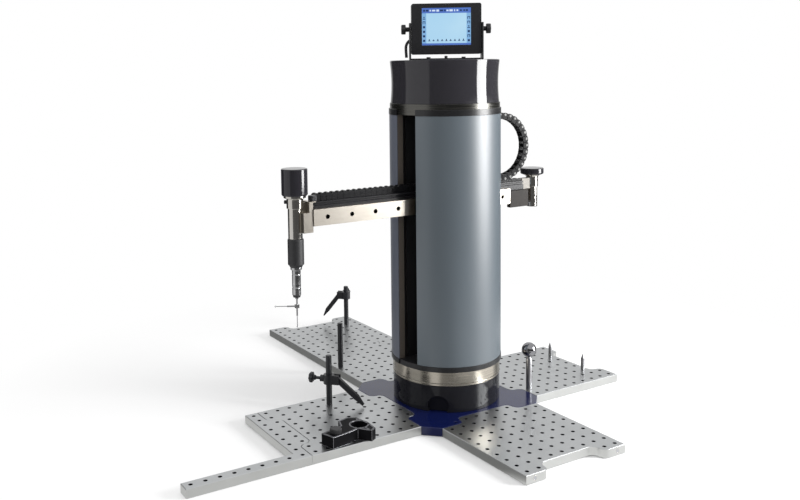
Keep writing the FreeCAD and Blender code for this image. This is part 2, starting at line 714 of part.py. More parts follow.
lift_runners = []
wing = s.rail_width / 2 + s.lift_runner_wing
for side in (-1, 1):
    middle = s.rail_offset * side
    for level, low in enumerate((arm - s.carriage_drop + 5, carriage_top - 3 - s.lift_runner_length)):
        tag = "%d%d" % (side + 1, level)
        block = box("lift_runner_block_" + tag, (plate_far, spine_near - 4),
                    (middle - wing, middle + wing), (low, low + s.lift_runner_length))
        groove = box("lift_runner_groove_" + tag, (rail_near - s.seat_gap, spine_near),
                     (middle - s.rail_width / 2 - s.seat_gap, middle + s.rail_width / 2 + s.seat_gap),
                     (low - 1, low + s.lift_runner_length + 1))
        lift_runners.append(cut("lift_runner_" + tag, block, groove))
group("lift_runners", *lift_runners)

# Arm: black beam with a steel rail along its right side
beam_low = rail_in - s.beam_width
beam_bottom = beam_top - s.beam_height
beam = box("beam_blank", (beam_low, rail_in), (-s.arm_front, s.arm_rear), (beam_bottom, beam_top))
groove = box("beam_groove", (beam_low + 6, rail_in - 6), (-s.arm_front - 1, s.arm_rear + 1),
             (beam_bottom - 1, beam_bottom + 3))
side_groove = box("beam_side_groove", (rail_in - 3, rail_in + 1), (-s.arm_front - 1, s.arm_rear + 1),
                  (beam_top - 7, beam_top - 3))
keep(cut("arm_beam", beam, groove, side_groove))

rail_blank = box("rail_blank", (rail_in, s.arm_rail_face), (-s.arm_front, s.rail_rear),
                 (arm - half_rail, arm + half_rail))
rail_holes = []
count = int((number(s.arm_front) + number(s.rail_rear)
             - number(s.first_rail_hole) - number(s.last_rail_hole))
            / number(s.rail_hole_pitch)) + 1
for n in range(count):
    y = s.first_rail_hole - s.arm_front + s.rail_hole_pitch * n
    rail_holes.append(cylinder("rail_bore_%d" % n, (rail_in - 1, y, arm), s.rail_bore_radius,
                               s.rail_depth + 2, "x"))
    rail_holes.append(cylinder("rail_sink_%d" % n, (s.arm_rail_face - 6, y, arm),
                               s.rail_hole_radius, 7, "x"))
keep(cut("arm_rail", rail_blank, *rail_holes))

# Cable chain on top of the beam, one notch between links
chain_front = s.arm_front - 11
chain_blank = box("chain_blank", (beam_low, beam_low + s.chain_width), (-chain_front, s.chain_end),
                  (beam_top, beam_top + s.chain_height))
links = int((number(chain_front) + number(s.chain_end)) / number(s.chain_pitch))
notches = [box("chain_notch_%d" % n, (beam_low - 1, beam_low + s.chain_width + 1),
               (s.chain_pitch * n - chain_front - 1, s.chain_pitch * n - chain_front + 1),
               (beam_top + s.chain_height - 3, beam_top + s.chain_height + 1))
           for n in range(1, links + 1)]
tail = box("chain_tail", (beam_low, beam_low + s.chain_width), (s.chain_end - 1, s.arm_rear),
           (beam_top, beam_top + s.tail_height))
keep(fuse("arm_chain", cut("chain_cut", chain_blank, *notches), tail))

# Hanging loop of cable chain from the top flange to the carriage
loop_body = new_body("lift_chain")
loop_in = loop_radius - s.loop_height
loop_mid = loop_low + loop_radius
loop_sketch = outline(new_sketch(loop_body, "YZ_Plane"), [
    (s.loop_start, loop_low), (s.loop_centre, loop_low), (s.loop_centre + loop_radius, loop_mid),
    (s.loop_centre, loop_top), (s.loop_start, loop_top), (s.loop_start, loop_top - s.loop_height),
    (s.loop_centre, loop_top - s.loop_height), (s.loop_centre + loop_in, loop_mid),
    (s.loop_centre, loop_low + s.loop_height), (s.loop_start, loop_low + s.loop_height)],
    arcs={1: loop_radius, 2: loop_radius, 6: -loop_in, 7: -loop_in})
pad(loop_body, loop_sketch, s.loop_width)
keep(place(loop_body, s.loop_place - s.loop_width / 2, 0, 0))

# Front bracket and probe head
px, py = s.probe_x, -s.probe_reach
bracket_low, bracket_top = arm - s.bracket_drop, arm + s.bracket_rise
tube_low = arm - s.tube_drop
collar_low = arm + s.collar_rise
cap_flange = arm + s.flange_rise
knob_y = s.knob_inset - s.arm_front
front = -s.arm_front - s.seat_gap
plate_y = (front - s.bracket_depth, front)
bracket = fuse(
    "bracket_solid",
    box("bracket_plate", (beam_low, s.arm_rail_face - 2), plate_y, (bracket_low, bracket_top)),
    box("bracket_wrap", (px + 9, s.arm_rail_face - 2), (front - s.wrap_depth, front),
        (bracket_low, bracket_low + s.wrap_height)),
    box("bracket_saddle", (px - 10, px + 10), (py + 7, front - s.bracket_depth + 1),
        (bracket_low + 5, bracket_top - 2)),
    box("bracket_tab", (s.knob_x - 7, s.knob_x + 7), (front - 1, -s.arm_front + 7 - s.seat_gap),
        (beam_top + s.seat_gap, bracket_top)))
keep(cut("end_bracket", bracket,
         cylinder("saddle_bore", (px, py, bracket_low), s.tube_radius, bracket_top - bracket_low),
         cylinder("saddle_collar", (px, py, collar_low), s.collar_radius, bracket_top - collar_low),
         cylinder("knob_hole", (s.knob_x, knob_y, beam_top), 2.55, 20)))
stub_bore = s.stub_radius + s.fit_gap
turned("probe_tube", [(stub_bore, tube_low), (s.tube_radius, tube_low),
                      (s.tube_radius, collar_low), (s.collar_radius, collar_low),
                      (s.collar_radius, cap_flange - 2), (s.flange_radius, cap_flange),
                      (s.flange_radius, cap_flange + s.flange_height),
                      (0, cap_flange + s.flange_height), (0, tube_low + s.stub_length + 2),
                      (stub_bore, tube_low + s.stub_length + 2)], px, py)
cap_low = cap_flange + s.flange_height
cap_top = cap_low + s.cap_height
turned("head_cap", [(0, cap_low), (s.cap_radius, cap_low), (s.cap_radius, cap_top - bevel),
                    (s.cap_radius - bevel, cap_top), (0, cap_top)], px, py)
screw_low = beam_top + s.seat_gap
turned("bracket_knob", [(0, screw_low), (2.5, screw_low), (2.5, bracket_top + s.seat_gap),
                        (s.knob_radius, bracket_top + s.seat_gap),
                        (s.knob_radius, bracket_top + s.knob_height - 1),
                        (s.knob_radius - 1, bracket_top + s.knob_height),
                        (0, bracket_top + s.knob_height)], s.knob_x, knob_y)
grip_top = tube_low - s.seat_gap
grip_low = tube_low - s.grip_length
probe_low = grip_low - s.probe_length
turned("probe_grip", [(0, grip_low), (s.grip_radius - 3.6, grip_low), (s.grip_radius - 2.4, grip_low + 3),
                      (s.grip_radius, grip_low + 5), (s.grip_radius, grip_top - bevel),
                      (s.grip_radius - bevel, grip_top), (s.stub_radius, grip_top),
                      (s.stub_radius, tube_low + s.stub_length), (0, tube_low + s.stub_length)],
       px, py)
ring_low = probe_low - s.ring_height
turned("probe_body", [(0, ring_low), (s.probe_radius - 1.6, ring_low), (s.probe_radius - 0.7, probe_low),
                      (s.probe_radius, probe_low), (s.probe_radius, grip_low - 6),
                      (s.probe_radius + 2.4, grip_low - 4), (s.probe_radius + 2.4, grip_low),
                      (0, grip_low)], px, py)
stylus_top = ring_low - s.stylus_gap
cross_z = stylus_top - s.cross_drop
tip_z = cross_z - s.tip_drop
side_spin = Rotation(Vector(0, 0, 1), number(s.side_azimuth)) * Rotation(Vector(0, 1, 0), 90)


def side_rod(label, radius, start, stop):
    rod = cylinder(label, (0, 0, 0), radius, stop - start)
    angle = math.radians(number(s.side_azimuth))
    rod.Placement = Placement(Vector(number(px) + number(start) * math.cos(angle),
                                     number(py) + number(start) * math.sin(angle),
                                     number(cross_z)), side_spin)
    return rod


side_ball = doc.addObject("Part::Sphere", "side_ball")
bind(side_ball, "Radius", s.tip_radius)
side_angle = math.radians(number(s.side_azimuth))
side_ball.Placement.Base = Vector(number(px) + number(s.side_length) * math.cos(side_angle),
                                  number(py) + number(s.side_length) * math.sin(side_angle),
                                  number(cross_z))
tip_ball = doc.addObject("Part::Sphere", "tip_ball")
bind(tip_ball, "Radius", s.tip_radius)
place(tip_ball, px, py, tip_z + s.tip_radius)
mid_needle = (cross_z + tip_z) / 2 + 2
keep(fuse("stylus",
          cylinder("stylus_disc", (px, py, stylus_top - s.disc_thick), s.disc_radius, s.disc_thick),
          cylinder("stylus_pin", (px - s.pin_reach, py, stylus_top - s.disc_thick / 2),
                   s.needle_radius, s.pin_reach * 2, "x"),
          cylinder("stylus_stem", (px, py, cross_z), s.stem_radius, stylus_top - cross_z - 1),
          box("stylus_cross", (px - s.cross_half, px + s.cross_half), (py - s.cross_half, py + s.cross_half),
              (cross_z - s.cross_half, cross_z + s.cross_half)),
          cylinder("stylus_thick", (px, py, mid_needle), s.stem_radius, cross_z - mid_needle),
          cylinder("stylus_needle", (px, py, tip_z + s.tip_radius), s.needle_radius,
                   mid_needle - tip_z - s.tip_radius + 1),
          side_rod("side_thick_rod", s.stem_radius, s.cross_half - 1, s.side_thick),
          side_rod("side_needle", s.needle_radius, s.side_thick - 1, s.side_length),
          side_ball, tip_ball))

# Tool holder at the rear end of the arm
ry = s.rear_reach
rear = s.rail_rear + s.seat_gap
rear_end = rear + s.rear_block_length
rear_low, rear_step = arm - s.rear_drop, arm + s.rear_step_rise
rear_top = arm + s.rear_top_rise
rear_block_low = arm - s.rear_block_drop
rear_solid = fuse(
    "rear_solid",
    box("rear_box", (rail_in, s.arm_rail_face), (rear, rear_end), (rear_block_low, rear_step)),
    box("rear_plate", (beam_low, s.arm_rail_face), (s.arm_rear + s.seat_gap, rear_end),
        (rear_block_low, rear_step)),
    box("rear_saddle", (px - 10, px - 2), (rear_end - 2, ry - 5), (rear_block_low + 6, rear_step)),
    box("rear_upper", (px - 6, px + 6), (rear_end - 1, ry - 10.5), (rear_step - 1, rear_top - 6)))
keep(cut("rear_block", rear_solid,
         cylinder("rear_bore", (px, ry, rear_low), s.rear_radius, rear_top - rear_low),
         cylinder("rear_collar", (px, ry, rear_step), s.rear_radius + 1.5, rear_top - rear_step)))
turned("rear_tube", [(0, rear_low), (s.rear_radius, rear_low), (s.rear_radius, rear_step),
                     (s.rear_radius + 1.5, rear_step), (s.rear_radius + 1.5, rear_top - 4),
                     (s.rear_radius + 6, rear_top), (0, rear_top)], px, ry)
turned("rear_cap", [(0, rear_top), (s.rear_cap_radius - 4, rear_top), (s.rear_cap_radius, rear_top + 4),
                    (s.rear_cap_radius, rear_top + s.rear_cap_height - bevel),
                    (s.rear_cap_radius - bevel, rear_top + s.rear_cap_height),
                    (0, rear_top + s.rear_cap_height)], px, ry)

# Display in its yoke, drawn facing -Y and then turned
face = number(s.display_azimuth)
aside = math.radians(face)
display_at = (number(s.display_aside) * math.cos(aside), number(s.display_aside) * math.sin(aside), 0)
axis_z = head_top + s.display_lift
half_case = s.case_width / 2
arm_in = half_case + s.yoke_gap
arm_out = arm_in + s.yoke_thick
yoke_low = head_top + s.seat_gap
yoke_top = axis_z + 12
half_depth = s.yoke_depth / 2
yoke_solid = fuse(
    "yoke_solid",
    box("yoke_bar", (-arm_out, arm_out), (-half_depth, half_depth), (yoke_low, yoke_low + s.yoke_thick)),
    box("yoke_left", (-arm_out, -arm_in), (-half_depth, half_depth), (yoke_low, yoke_top)),
    box("yoke_right", (arm_in, arm_out), (-half_depth, half_depth), (yoke_low, yoke_top)),
    cylinder("yoke_bolt", (0, 0, yoke_low), s.pivot_radius, 7.5),
    *[cylinder("yoke_screw_%d" % n, (34 * side, 0, yoke_low + s.yoke_thick), 4, 2.4)
      for n, side in enumerate((-1, 1))])
yoke_hole = s.pivot_radius + s.fit_gap
keep(turn(cut("display_yoke", yoke_solid,
              cylinder("yoke_bore", (-arm_out - 1, 0, axis_z), yoke_hole, arm_out * 2 + 2, "x")),
          face, at=display_at))

case_low = axis_z - s.case_height / 2
case_body = new_body("case_blank")
case_sketch = outline(new_sketch(case_body, "XZ_Plane"), [
    (-half_case, case_low), (half_case, case_low), (half_case, case_low + s.case_height),
    (-half_case, case_low + s.case_height)])
pad(case_body, case_sketch, s.case_depth)
place(case_body, 0, s.case_depth / 2, 0)
doc.recompute()
rounded = doc.addObject("Part::Fillet", "case_rounded")
rounded.Base = case_body
upright = [n + 1 for n, edge in enumerate(case_body.Shape.Edges)
           if abs(edge.tangentAt(edge.FirstParameter).y) > 0.9]
rounded.Edges = [(n, number(s.case_round), number(s.case_round)) for n in upright]
half_screen = s.screen_width / 2
screen_mid = axis_z + s.screen_rise
screen_span = (screen_mid - s.screen_height / 2, screen_mid + s.screen_height / 2)
front_face = -s.case_depth / 2
window = box("case_window", (-half_screen - 0.5, half_screen + 0.5), (front_face - 1, front_face + 2.6),
             (screen_span[0] - 0.5, screen_span[1] + 0.5))
side_holes = cylinder("case_side_holes", (-half_case - 1, 0, axis_z), yoke_hole, 13, "x")
other_hole = cylinder("case_other_hole", (half_case - 12, 0, axis_z), yoke_hole, 13, "x")
keep(turn(cut("display_case", rounded, window, side_holes, other_hole), face, at=display_at))
turn(group("display_screen", box("screen_sheet", (-half_screen, half_screen),
                                 (front_face + 0.9, front_face + 0.9 + s.screen_thick),
                                 screen_span)), face, at=display_at)


def display_knob(label, side):
    """Clamping knob with its screw, turned about the tilt axis."""
    start = arm_out + s.seat_gap
    neck = start + s.dial_neck
    body = new_body(label)
    points = [(0, half_case - 10), (s.pivot_radius, half_case - 10), (s.pivot_radius, start), (4.5, start),
              (4.5, neck), (s.dial_radius, neck + 1), (s.dial_radius, neck + s.dial_thick - 1),
              (s.dial_radius - 1.5, neck + s.dial_thick), (0, neck + s.dial_thick)]
    sketch = outline(new_sketch(body, "XZ_Plane"), points)
    feature = body.newObject("PartDesign::Revolution", label + "_turned")
    feature.Profile = sketch
    feature.ReferenceAxis = (sketch, ["V_Axis"])
    body.Placement = Placement(Vector(display_at[0], display_at[1], number(axis_z)),
                               Rotation(Vector(0, 0, 1), face) * Rotation(Vector(0, 1, 0), 90 * side))
    return keep(body)


display_knob("display_knob_left", -1)
display_knob("display_knob_right", 1)


# Things that stand in the plates' holes
def hole_spot(azimuth, row, lane):
    """Place of a grid hole of the plate that lies along an azimuth."""
    angle = math.radians(azimuth)
    reach, across = s.first_row + pitch * row, pitch * lane
    return (reach * round(math.cos(angle)) - across * round(math.sin(angle)),
            reach * round(math.sin(angle)) + across * round(math.cos(angle)))


front_post = hole_spot(front_azimuth, 4, -3)
plain_post = hole_spot(left_azimuth, 5, 4)
left_post = hole_spot(left_azimuth, 16, -3)
ball_spot = hole_spot(rear_azimuth, 1, -3)
cone_spots = (hole_spot(rear_azimuth, 8, 2), hole_spot(rear_azimuth, 8, -2))
stud_low = top - s.stud_length
post_top = top + s.post_height


def standing(label, profile, spot):
    """A turned piece on a stud that sits in a grid hole."""
    points = [(0, stud_low), (s.stud_radius, stud_low), (s.stud_radius, top)] + profile
    return turned(label, points, spot[0], spot[1], final=False)


post_profile = [(s.post_radius, top), (s.post_radius, post_top - s.post_chamfer),
                (s.post_radius - s.post_chamfer, post_top), (0, post_top)]
group("posts", *[standing("post_%d" % n, post_profile, spot)
                 for n, spot in enumerate((front_post, plain_post, left_post))])
cone_top = top + s.cone_height
group("cone_pins", *[standing("cone_pin_%d" % n, [
    (s.cone_radius, top), (s.cone_radius, cone_top - s.cone_tip), (0.4, cone_top), (0, cone_top)], spot)
    for n, spot in enumerate(cone_spots)])
ball_z = top + s.ball_height
ball = doc.addObject("Part::Sphere", "ball")
bind(ball, "Radius", s.ball_radius)
place(ball, ball_spot[0], ball_spot[1], ball_z)
stem = standing("ball_stem", [(s.stem_wide, top), (s.stem_wide, ball_z - s.ball_radius - 4),
                              (s.stem_wide * 0.6, ball_z - s.ball_radius + 1),
                              (s.stem_wide * 0.6, ball_z), (0, ball_z)], ball_spot)
keep(fuse("reference_sphere", ball, stem))


def clamp_set(name, spot, level, arm_azimuth, screw_turn, tilt):
    """A clamp on a post with a thumb screw and a pivoting pointer arm."""
    hug = s.post_radius + s.fit_gap
    ring = s.post_radius + s.clamp_wall
    half_high = s.clamp_height / 2
    half_arm = s.pointer_thick / 2
    shell = fuse(name + "_clamp_solid",
                 cylinder(name + "_clamp_ring", (0, 0, -half_high), ring, s.clamp_height),
                 box(name + "_clamp_lug", (0, s.clamp_reach + 5), (-half_arm - 4, half_arm + 4),
                     (-half_high, half_high)))
    nose = cylinder(name + "_clamp_nose", (0, 0, 0), 6.5, 17, "x")
    nose.Placement = Placement(Vector(), Rotation(Vector(0, 0, 1), screw_turn)
                               * Rotation(Vector(0, 1, 0), 90))
    shell = fuse(name + "_clamp_body", shell, nose)
    screw_hole = cylinder(name + "_screw_hole", (0, 0, 0), s.screw_radius + s.fit_gap, 20)
    screw_hole.Placement = nose.Placement
    clamp = cut(name + "_clamp_bored", shell,
                cylinder(name + "_clamp_bore", (0, 0, -20), hug, 40),
                box(name + "_clamp_fork", (ring, s.clamp_reach + 30),
                    (-half_arm - s.seat_gap, half_arm + s.seat_gap), (-20, 20)),
                screw_hole)
    pin = cylinder(name + "_pivot_pin", (s.clamp_reach, -half_arm - 4, 0), s.pivot_bore,
                   half_arm * 2 + 8, "y")
    keep(turn(fuse(name + "_clamp", clamp, pin), arm_azimuth, 0, (*spot, level)), name + "_clamp")

    half_wide = s.pointer_width / 2
    pointer = new_body(name + "_pointer")
    sketch = outline(new_sketch(pointer, "XZ_Plane"), [
        (0, -half_wide + 1.5), (s.pointer_length * 0.72, -half_wide + 1.5), (s.pointer_length, -2.5),
        (s.pointer_length, 0), (s.pointer_length * 0.72, half_wide), (0, half_wide)],
        arcs={5: half_wide - 0.75 + 0.01})
    circle(sketch, 0, 0, s.pivot_bore + s.fit_gap)
    pad(pointer, sketch, s.pointer_thick)
    doc.recompute()
    angle = math.radians(arm_azimuth)
    pivot = Vector(number(spot[0]) + number(s.clamp_reach) * math.cos(angle),
                   number(spot[1]) + number(s.clamp_reach) * math.sin(angle), number(level))
    spin = Rotation(Vector(0, 0, 1), arm_azimuth) * Rotation(Vector(0, 1, 0), tilt)
    shift = spin.multVec(Vector(0, number(half_arm), 0))
    pointer.Placement = Placement(pivot + shift, spin)
    keep(pointer)

    knob = new_body(name + "_thumb_knob")
    end = s.thumb_out
    sketch = outline(new_sketch(knob, "XZ_Plane"), [
        (0, s.post_radius + 0.4), (s.screw_radius, s.post_radius + 0.4),
        (s.screw_radius, end - s.thumb_thick - 6),
        (5, end - s.thumb_thick - 4), (5, end - s.thumb_thick), (s.thumb_radius, end - s.thumb_thick + 1),
        (s.thumb_radius, end - 1.5), (s.thumb_radius - 2, end), (0, end)])
    feature = knob.newObject("PartDesign::Revolution", name + "_knob_turned")
    feature.Profile = sketch
    feature.ReferenceAxis = (sketch, ["V_Axis"])
    knob.Placement = Placement(Vector(number(spot[0]), number(spot[1]), number(level)),
                               Rotation(Vector(0, 0, 1), arm_azimuth + screw_turn)
                               * Rotation(Vector(0, 1, 0), 90))
    keep(knob)


clamp_set("front", front_post, top + s.front_level, 42, number(s.front_screw_turn), 40)
clamp_set("left", left_post, top + s.left_level, 225, number(s.left_screw_turn), 52)

# Loose clamping block on the front plate, with a bored head and a narrower tail
block_x, block_y = s.block_x, s.block_y
block_points = [(-38, -4), (-30, 11), (4, 18), (30, 16), (37, 4), (16, -12), (22, -32), (27, -68),
                (-1, -76), (-5, -58), (-12, -32), (-32, -25)]
block_top = top + s.block_height
block_outline = [(Dim(x, repr(float(x))), Dim(y, repr(float(y)))) for x, y in block_points[::-1]]
block = extruded("block_blank", block_outline,
                 top, block_top, block_x, block_y, final=False)
knob_spot = (block_x + s.block_knob_x, block_y + s.block_knob_y)
keep(cut("clamp_block", block,
         cylinder("block_bore", (block_x, block_y, top - 1), s.block_hole, s.block_height + 2),
         cylinder("block_screw_hole", (*knob_spot, top + 6), s.screw_radius + s.fit_gap, s.block_height)))
turned("block_knob", [(0, block_top - 12), (s.screw_radius, block_top - 12), (s.screw_radius, block_top + s.seat_gap),
                      (s.block_knob_radius, block_top + s.seat_gap),
                      (s.block_knob_radius, block_top + s.block_knob_height - 1),
                      (s.block_knob_radius - 1.5, block_top + s.block_knob_height),
                      (0, block_top + s.block_knob_height)], *knob_spot)

doc.recompute()
faults = [thing.Name for thing in doc.Objects if {"Invalid", "Error"} & set(thing.State)]
for label, piece in kept.items():
    if piece.Shape.isNull() or not piece.Shape.isValid() or not piece.Shape.Solids:
        faults.append(label)
if faults:
    sys.exit("not built: " + ", ".join(faults))
for label, piece in kept.items():
    piece.Shape.exportStep("parts/%s.step" % label)
print(len(kept), "pieces written")
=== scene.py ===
# Column measuring machine on a cross of grid plates: looks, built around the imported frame.
import bmesh
import bpy
import json
import math
import numpy as np
from mathutils import Matrix, Vector

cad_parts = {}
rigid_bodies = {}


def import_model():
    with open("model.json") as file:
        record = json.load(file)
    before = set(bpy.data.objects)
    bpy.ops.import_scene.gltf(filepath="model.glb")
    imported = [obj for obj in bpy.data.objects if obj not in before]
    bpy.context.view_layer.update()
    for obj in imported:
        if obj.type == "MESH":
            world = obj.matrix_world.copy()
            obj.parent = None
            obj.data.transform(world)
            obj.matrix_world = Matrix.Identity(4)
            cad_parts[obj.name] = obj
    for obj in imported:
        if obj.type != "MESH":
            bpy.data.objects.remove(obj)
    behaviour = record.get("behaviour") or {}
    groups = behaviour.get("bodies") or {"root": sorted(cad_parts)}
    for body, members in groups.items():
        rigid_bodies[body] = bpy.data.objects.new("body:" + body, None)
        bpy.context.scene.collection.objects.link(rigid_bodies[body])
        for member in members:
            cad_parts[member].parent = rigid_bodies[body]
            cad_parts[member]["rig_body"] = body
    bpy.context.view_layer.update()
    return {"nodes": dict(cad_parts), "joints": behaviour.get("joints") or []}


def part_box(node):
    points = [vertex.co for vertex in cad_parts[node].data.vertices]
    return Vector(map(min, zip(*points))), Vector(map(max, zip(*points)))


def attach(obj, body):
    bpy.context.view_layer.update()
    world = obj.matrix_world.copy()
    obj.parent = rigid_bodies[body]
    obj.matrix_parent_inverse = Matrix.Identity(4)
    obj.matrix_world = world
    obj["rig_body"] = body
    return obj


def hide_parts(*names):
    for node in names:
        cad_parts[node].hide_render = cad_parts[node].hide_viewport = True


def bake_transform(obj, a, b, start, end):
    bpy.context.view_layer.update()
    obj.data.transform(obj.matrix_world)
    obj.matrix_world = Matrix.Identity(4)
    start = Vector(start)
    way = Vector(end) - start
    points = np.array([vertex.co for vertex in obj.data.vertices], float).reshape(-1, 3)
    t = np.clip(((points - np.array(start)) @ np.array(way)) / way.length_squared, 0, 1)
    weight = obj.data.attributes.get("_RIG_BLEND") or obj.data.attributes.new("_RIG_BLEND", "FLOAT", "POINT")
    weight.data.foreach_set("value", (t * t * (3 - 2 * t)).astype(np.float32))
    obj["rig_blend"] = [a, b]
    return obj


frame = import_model()
print("frame loaded")

mm = 0.001
tau = 2 * math.pi
straight = ((1, 0, 0), (0, 1, 0), (0, 0, 1))


def newObject(name, data):
    # an object at the origin, linked into the scene
    made = bpy.data.objects.new(name, data)
    bpy.context.scene.collection.objects.link(made)
    return made


# Small helpers for colours and materials

def hexColour(code):
    # sRGB hex to linear: low values divide by 12.92, the rest follow the 2.4 power curve
    parts = [int(code[i:i + 2], 16) / 255 for i in (1, 3, 5)]
    return tuple(c / 12.92 if c <= 0.04045 else ((c + 0.055) / 1.055) ** 2.4 for c in parts) + (1.0,)


def addNode(tree, kind, settings=None, links=None):
    # settings go to a socket of that name or number, or else to the node itself
    node = tree.nodes.new(kind)
    for name, value in (settings or {}).items():
        if isinstance(name, str) and hasattr(node, name):
            setattr(node, name, value)
        else:
            node.inputs[name].default_value = value
    for name, source in (links or {}).items():
        tree.links.new(source, node.inputs[name])
    return node


def startMaterial(name, colour, metallic, roughness, **extra):
    # a Principled material; extra names further sockets with _ for a space
    made = bpy.data.materials.new(name)
    made.use_nodes = True
    made.diffuse_color = hexColour(colour)
    shader = made.node_tree.nodes["Principled BSDF"]
    values = {"Base Color": hexColour(colour), "Metallic": metallic, "Roughness": roughness}
    for key, value in {**values, **extra}.items():
        shader.inputs[key.replace("_", " ")].default_value = value
    return made, made.node_tree, shader


def pattern(tree, grainMm, detail=3.0, squeeze=(1, 1, 1)):
    # noise whose grains are about grainMm across, but shorter along an axis with a squeeze above 1
    place = addNode(tree, "ShaderNodeTexCoord")
    mapped = addNode(tree, "ShaderNodeMapping", {"Scale": squeeze}, {"Vector": place.outputs["Object"]})
    return addNode(tree, "ShaderNodeTexNoise", {"Scale": 1 / (grainMm * mm), "Detail": detail},
                   {"Vector": mapped.outputs["Vector"]}).outputs["Fac"]


def spread(tree, source, low, high):
    # maps the middle of a 0..1 pattern, 0.3 to 0.7, onto the range low..high
    limits = {"From Min": 0.3, "From Max": 0.7, "To Min": low, "To Max": high}
    return addNode(tree, "ShaderNodeMapRange", limits, {"Value": source}).outputs["Result"]


def tint(tree, source, dark, light):
    # the dark colour where the pattern is 0, the light one where it is 1
    tones = {"data_type": "RGBA", 6: hexColour(dark), 7: hexColour(light)}
    return addNode(tree, "ShaderNodeMix", tones, {0: source}).outputs[2]


def applyFinish(tree, shader, colour, fine, rough, depthMm, strength):
    # colour is a socket or nothing; the fine pattern spreads the roughness and raises a bump
    if colour:
        tree.links.new(colour, shader.inputs["Base Color"])
    tree.links.new(spread(tree, fine, *rough), shader.inputs["Roughness"])
    raised = addNode(tree, "ShaderNodeBump", {"Strength": strength, "Distance": depthMm * mm},
                     {"Height": fine})
    tree.links.new(raised.outputs["Normal"], shader.inputs["Normal"])


# Materials, most named for what the real one is and how its surface was made; the names of those that carry
# painted light or shade say so

def groundSteel(name, stretch=(1, 12, 1), light="#bcbebf", dark="#a9abac", rough=(0.3, 0.38), deep=0.25):
    # ground or milled metal: lines 0.4 mm apart (drawn at 1.2 mm) run along the axis with the largest stretch
    made, tree, shader = startMaterial(name, light, 1.0, 0.3)
    lines = pattern(tree, 1.2, 4, tuple(1 / v for v in stretch))
    patches = pattern(tree, 60, 2)
    applyFinish(tree, shader, tint(tree, patches, dark, light), lines, rough, 0.004, deep)
    return made


def turnedSteel(name, light, dark, rough=0.22, lineMm=0.9, deep=0.4, cutMm=0.008):
    # lathe-turned bright steel: fine rings round the axis stretch its reflections up and down
    made, tree, shader = startMaterial(name, light, 1.0, rough)
    rings = pattern(tree, lineMm, 3, (0.02, 0.02, 1))
    applyFinish(tree, shader, tint(tree, rings, dark, light), rings, (rough * 0.8, rough * 1.3), cutMm, deep)
    return made


def glossLacquer(name, colour, rough=0.06, shine=0.5):
    # gloss lacquer or bright anodising on machined aluminium: mirror-like strips over a dark colour
    made, tree, shader = startMaterial(name, colour, 0.0, rough, IOR=1.45, Specular_IOR_Level=shine)
    applyFinish(tree, shader, None, pattern(tree, 30, 2), (rough * 0.8, rough * 1.4), 0.02, 0.15)
    return made


def satinPaint(name, light, dark, rough=0.36, shine=0.6):
    # powder-coated sheet: faint orange peel, about 1.5 mm across, softens the reflections
    made, tree, shader = startMaterial(name, light, 0.0, rough, Specular_IOR_Level=shine)
    cloud, peel = pattern(tree, 120, 2, (1, 1, 0.4)), pattern(tree, 1.5, 2)
    applyFinish(tree, shader, tint(tree, cloud, dark, light), peel, (rough - 0.03, rough + 0.04), 0.02, 0.3)
    return made


def satinBlack(name, light, dark, rough=0.34, grainMm=0.7, metallic=0.0, shine=0.5):
    # black anodised or blackened metal and dark plastic: even satin with fine grain and slightly paler wear
    made, tree, shader = startMaterial(name, light, metallic, rough, Specular_IOR_Level=shine)
    wear, grain = pattern(tree, 25, 3), pattern(tree, grainMm, 4)
    applyFinish(tree, shader, tint(tree, wear, dark, light), grain, (rough - 0.06, rough + 0.08), 0.02, 0.3)
    return made


plateSteel = groundSteel("groundPlateSteel")
plateSteelAcross = groundSteel("groundPlateSteelAcross", (12, 1, 1))
plateEdge = groundSteel("milledPlateEdge", (1, 1, 6), "#c6c7c5", "#b2b3b1", (0.3, 0.4))
# painted shade: a dark steel for the bore walls and hole chamfers of the plates and the rail, standing for
# the shade inside the holes
holeShade = turnedSteel("paintedShadeHoleSteel", "#3a3a3d", "#242427", 0.4, 1.0)
bluePlate = glossLacquer("blueAnodisedAluminium", "#0c143e", 0.16, 0.5)
headLacquer = glossLacquer("blackLacquer", "#28272b")
drumLacquer = glossLacquer("blackLacquerDrum", "#18181c", 0.1, 0.25)
flangeSteel = turnedSteel("darkTurnedFlange", "#6b6a66", "#4e4d4a", 0.24, 1.2)
# the band's rings are drawn deep, because they stretch its highlight over its whole height
bandSteel = turnedSteel("turnedBandSteel", "#c4beb2", "#a39c90", 0.2, 1.6, 1.0, 0.15)
tubeSteel = turnedSteel("groundTubeSteel", "#cfccc6", "#c5c2bc", 0.13, 2.4, 0.02)
probeSteel = turnedSteel("polishedProbeSteel", "#d6d6d6", "#8c8c8e", 0.16, 2.5, 0.2)
railSteel = groundSteel("groundRailSteel", (1, 20, 1), "#d8d1c6", "#ccc5ba", (0.28, 0.3), 0.01)
darkSteel = turnedSteel("darkGroundSteel", "#8b8b8e", "#5e5e62", 0.3, 1.0)
chromeBall = turnedSteel("polishedBallSteel", "#98989b", "#828286", 0.08, 6, 0.05)
skinPaint = satinPaint("slatePowderCoat", "#4b555c", "#434c53", 0.4, 1.0)
# painted light: the left skin takes a paler, more violet copy of the slate powder coat
litSkinPaintLeft = satinPaint("slatePowderCoatLeftPaintedLight", "#585c67", "#4f535e")
trimPlastic = satinBlack("blackTrimPlastic", "#1a1a1c", "#111113", 0.3)
beamBlack = satinBlack("blackAnodisedBeam", "#1c1c1f", "#121214", 0.28, 0.7, 0.0, 0.25)
fittingBlack = satinBlack("blackenedSteel", "#222327", "#151518", 0.36, 0.6, 0.2)
rearBlack = satinBlack("brownedSteel", "#2e2a27", "#201d1b", 0.4, 0.8, 0.0, 0.12)
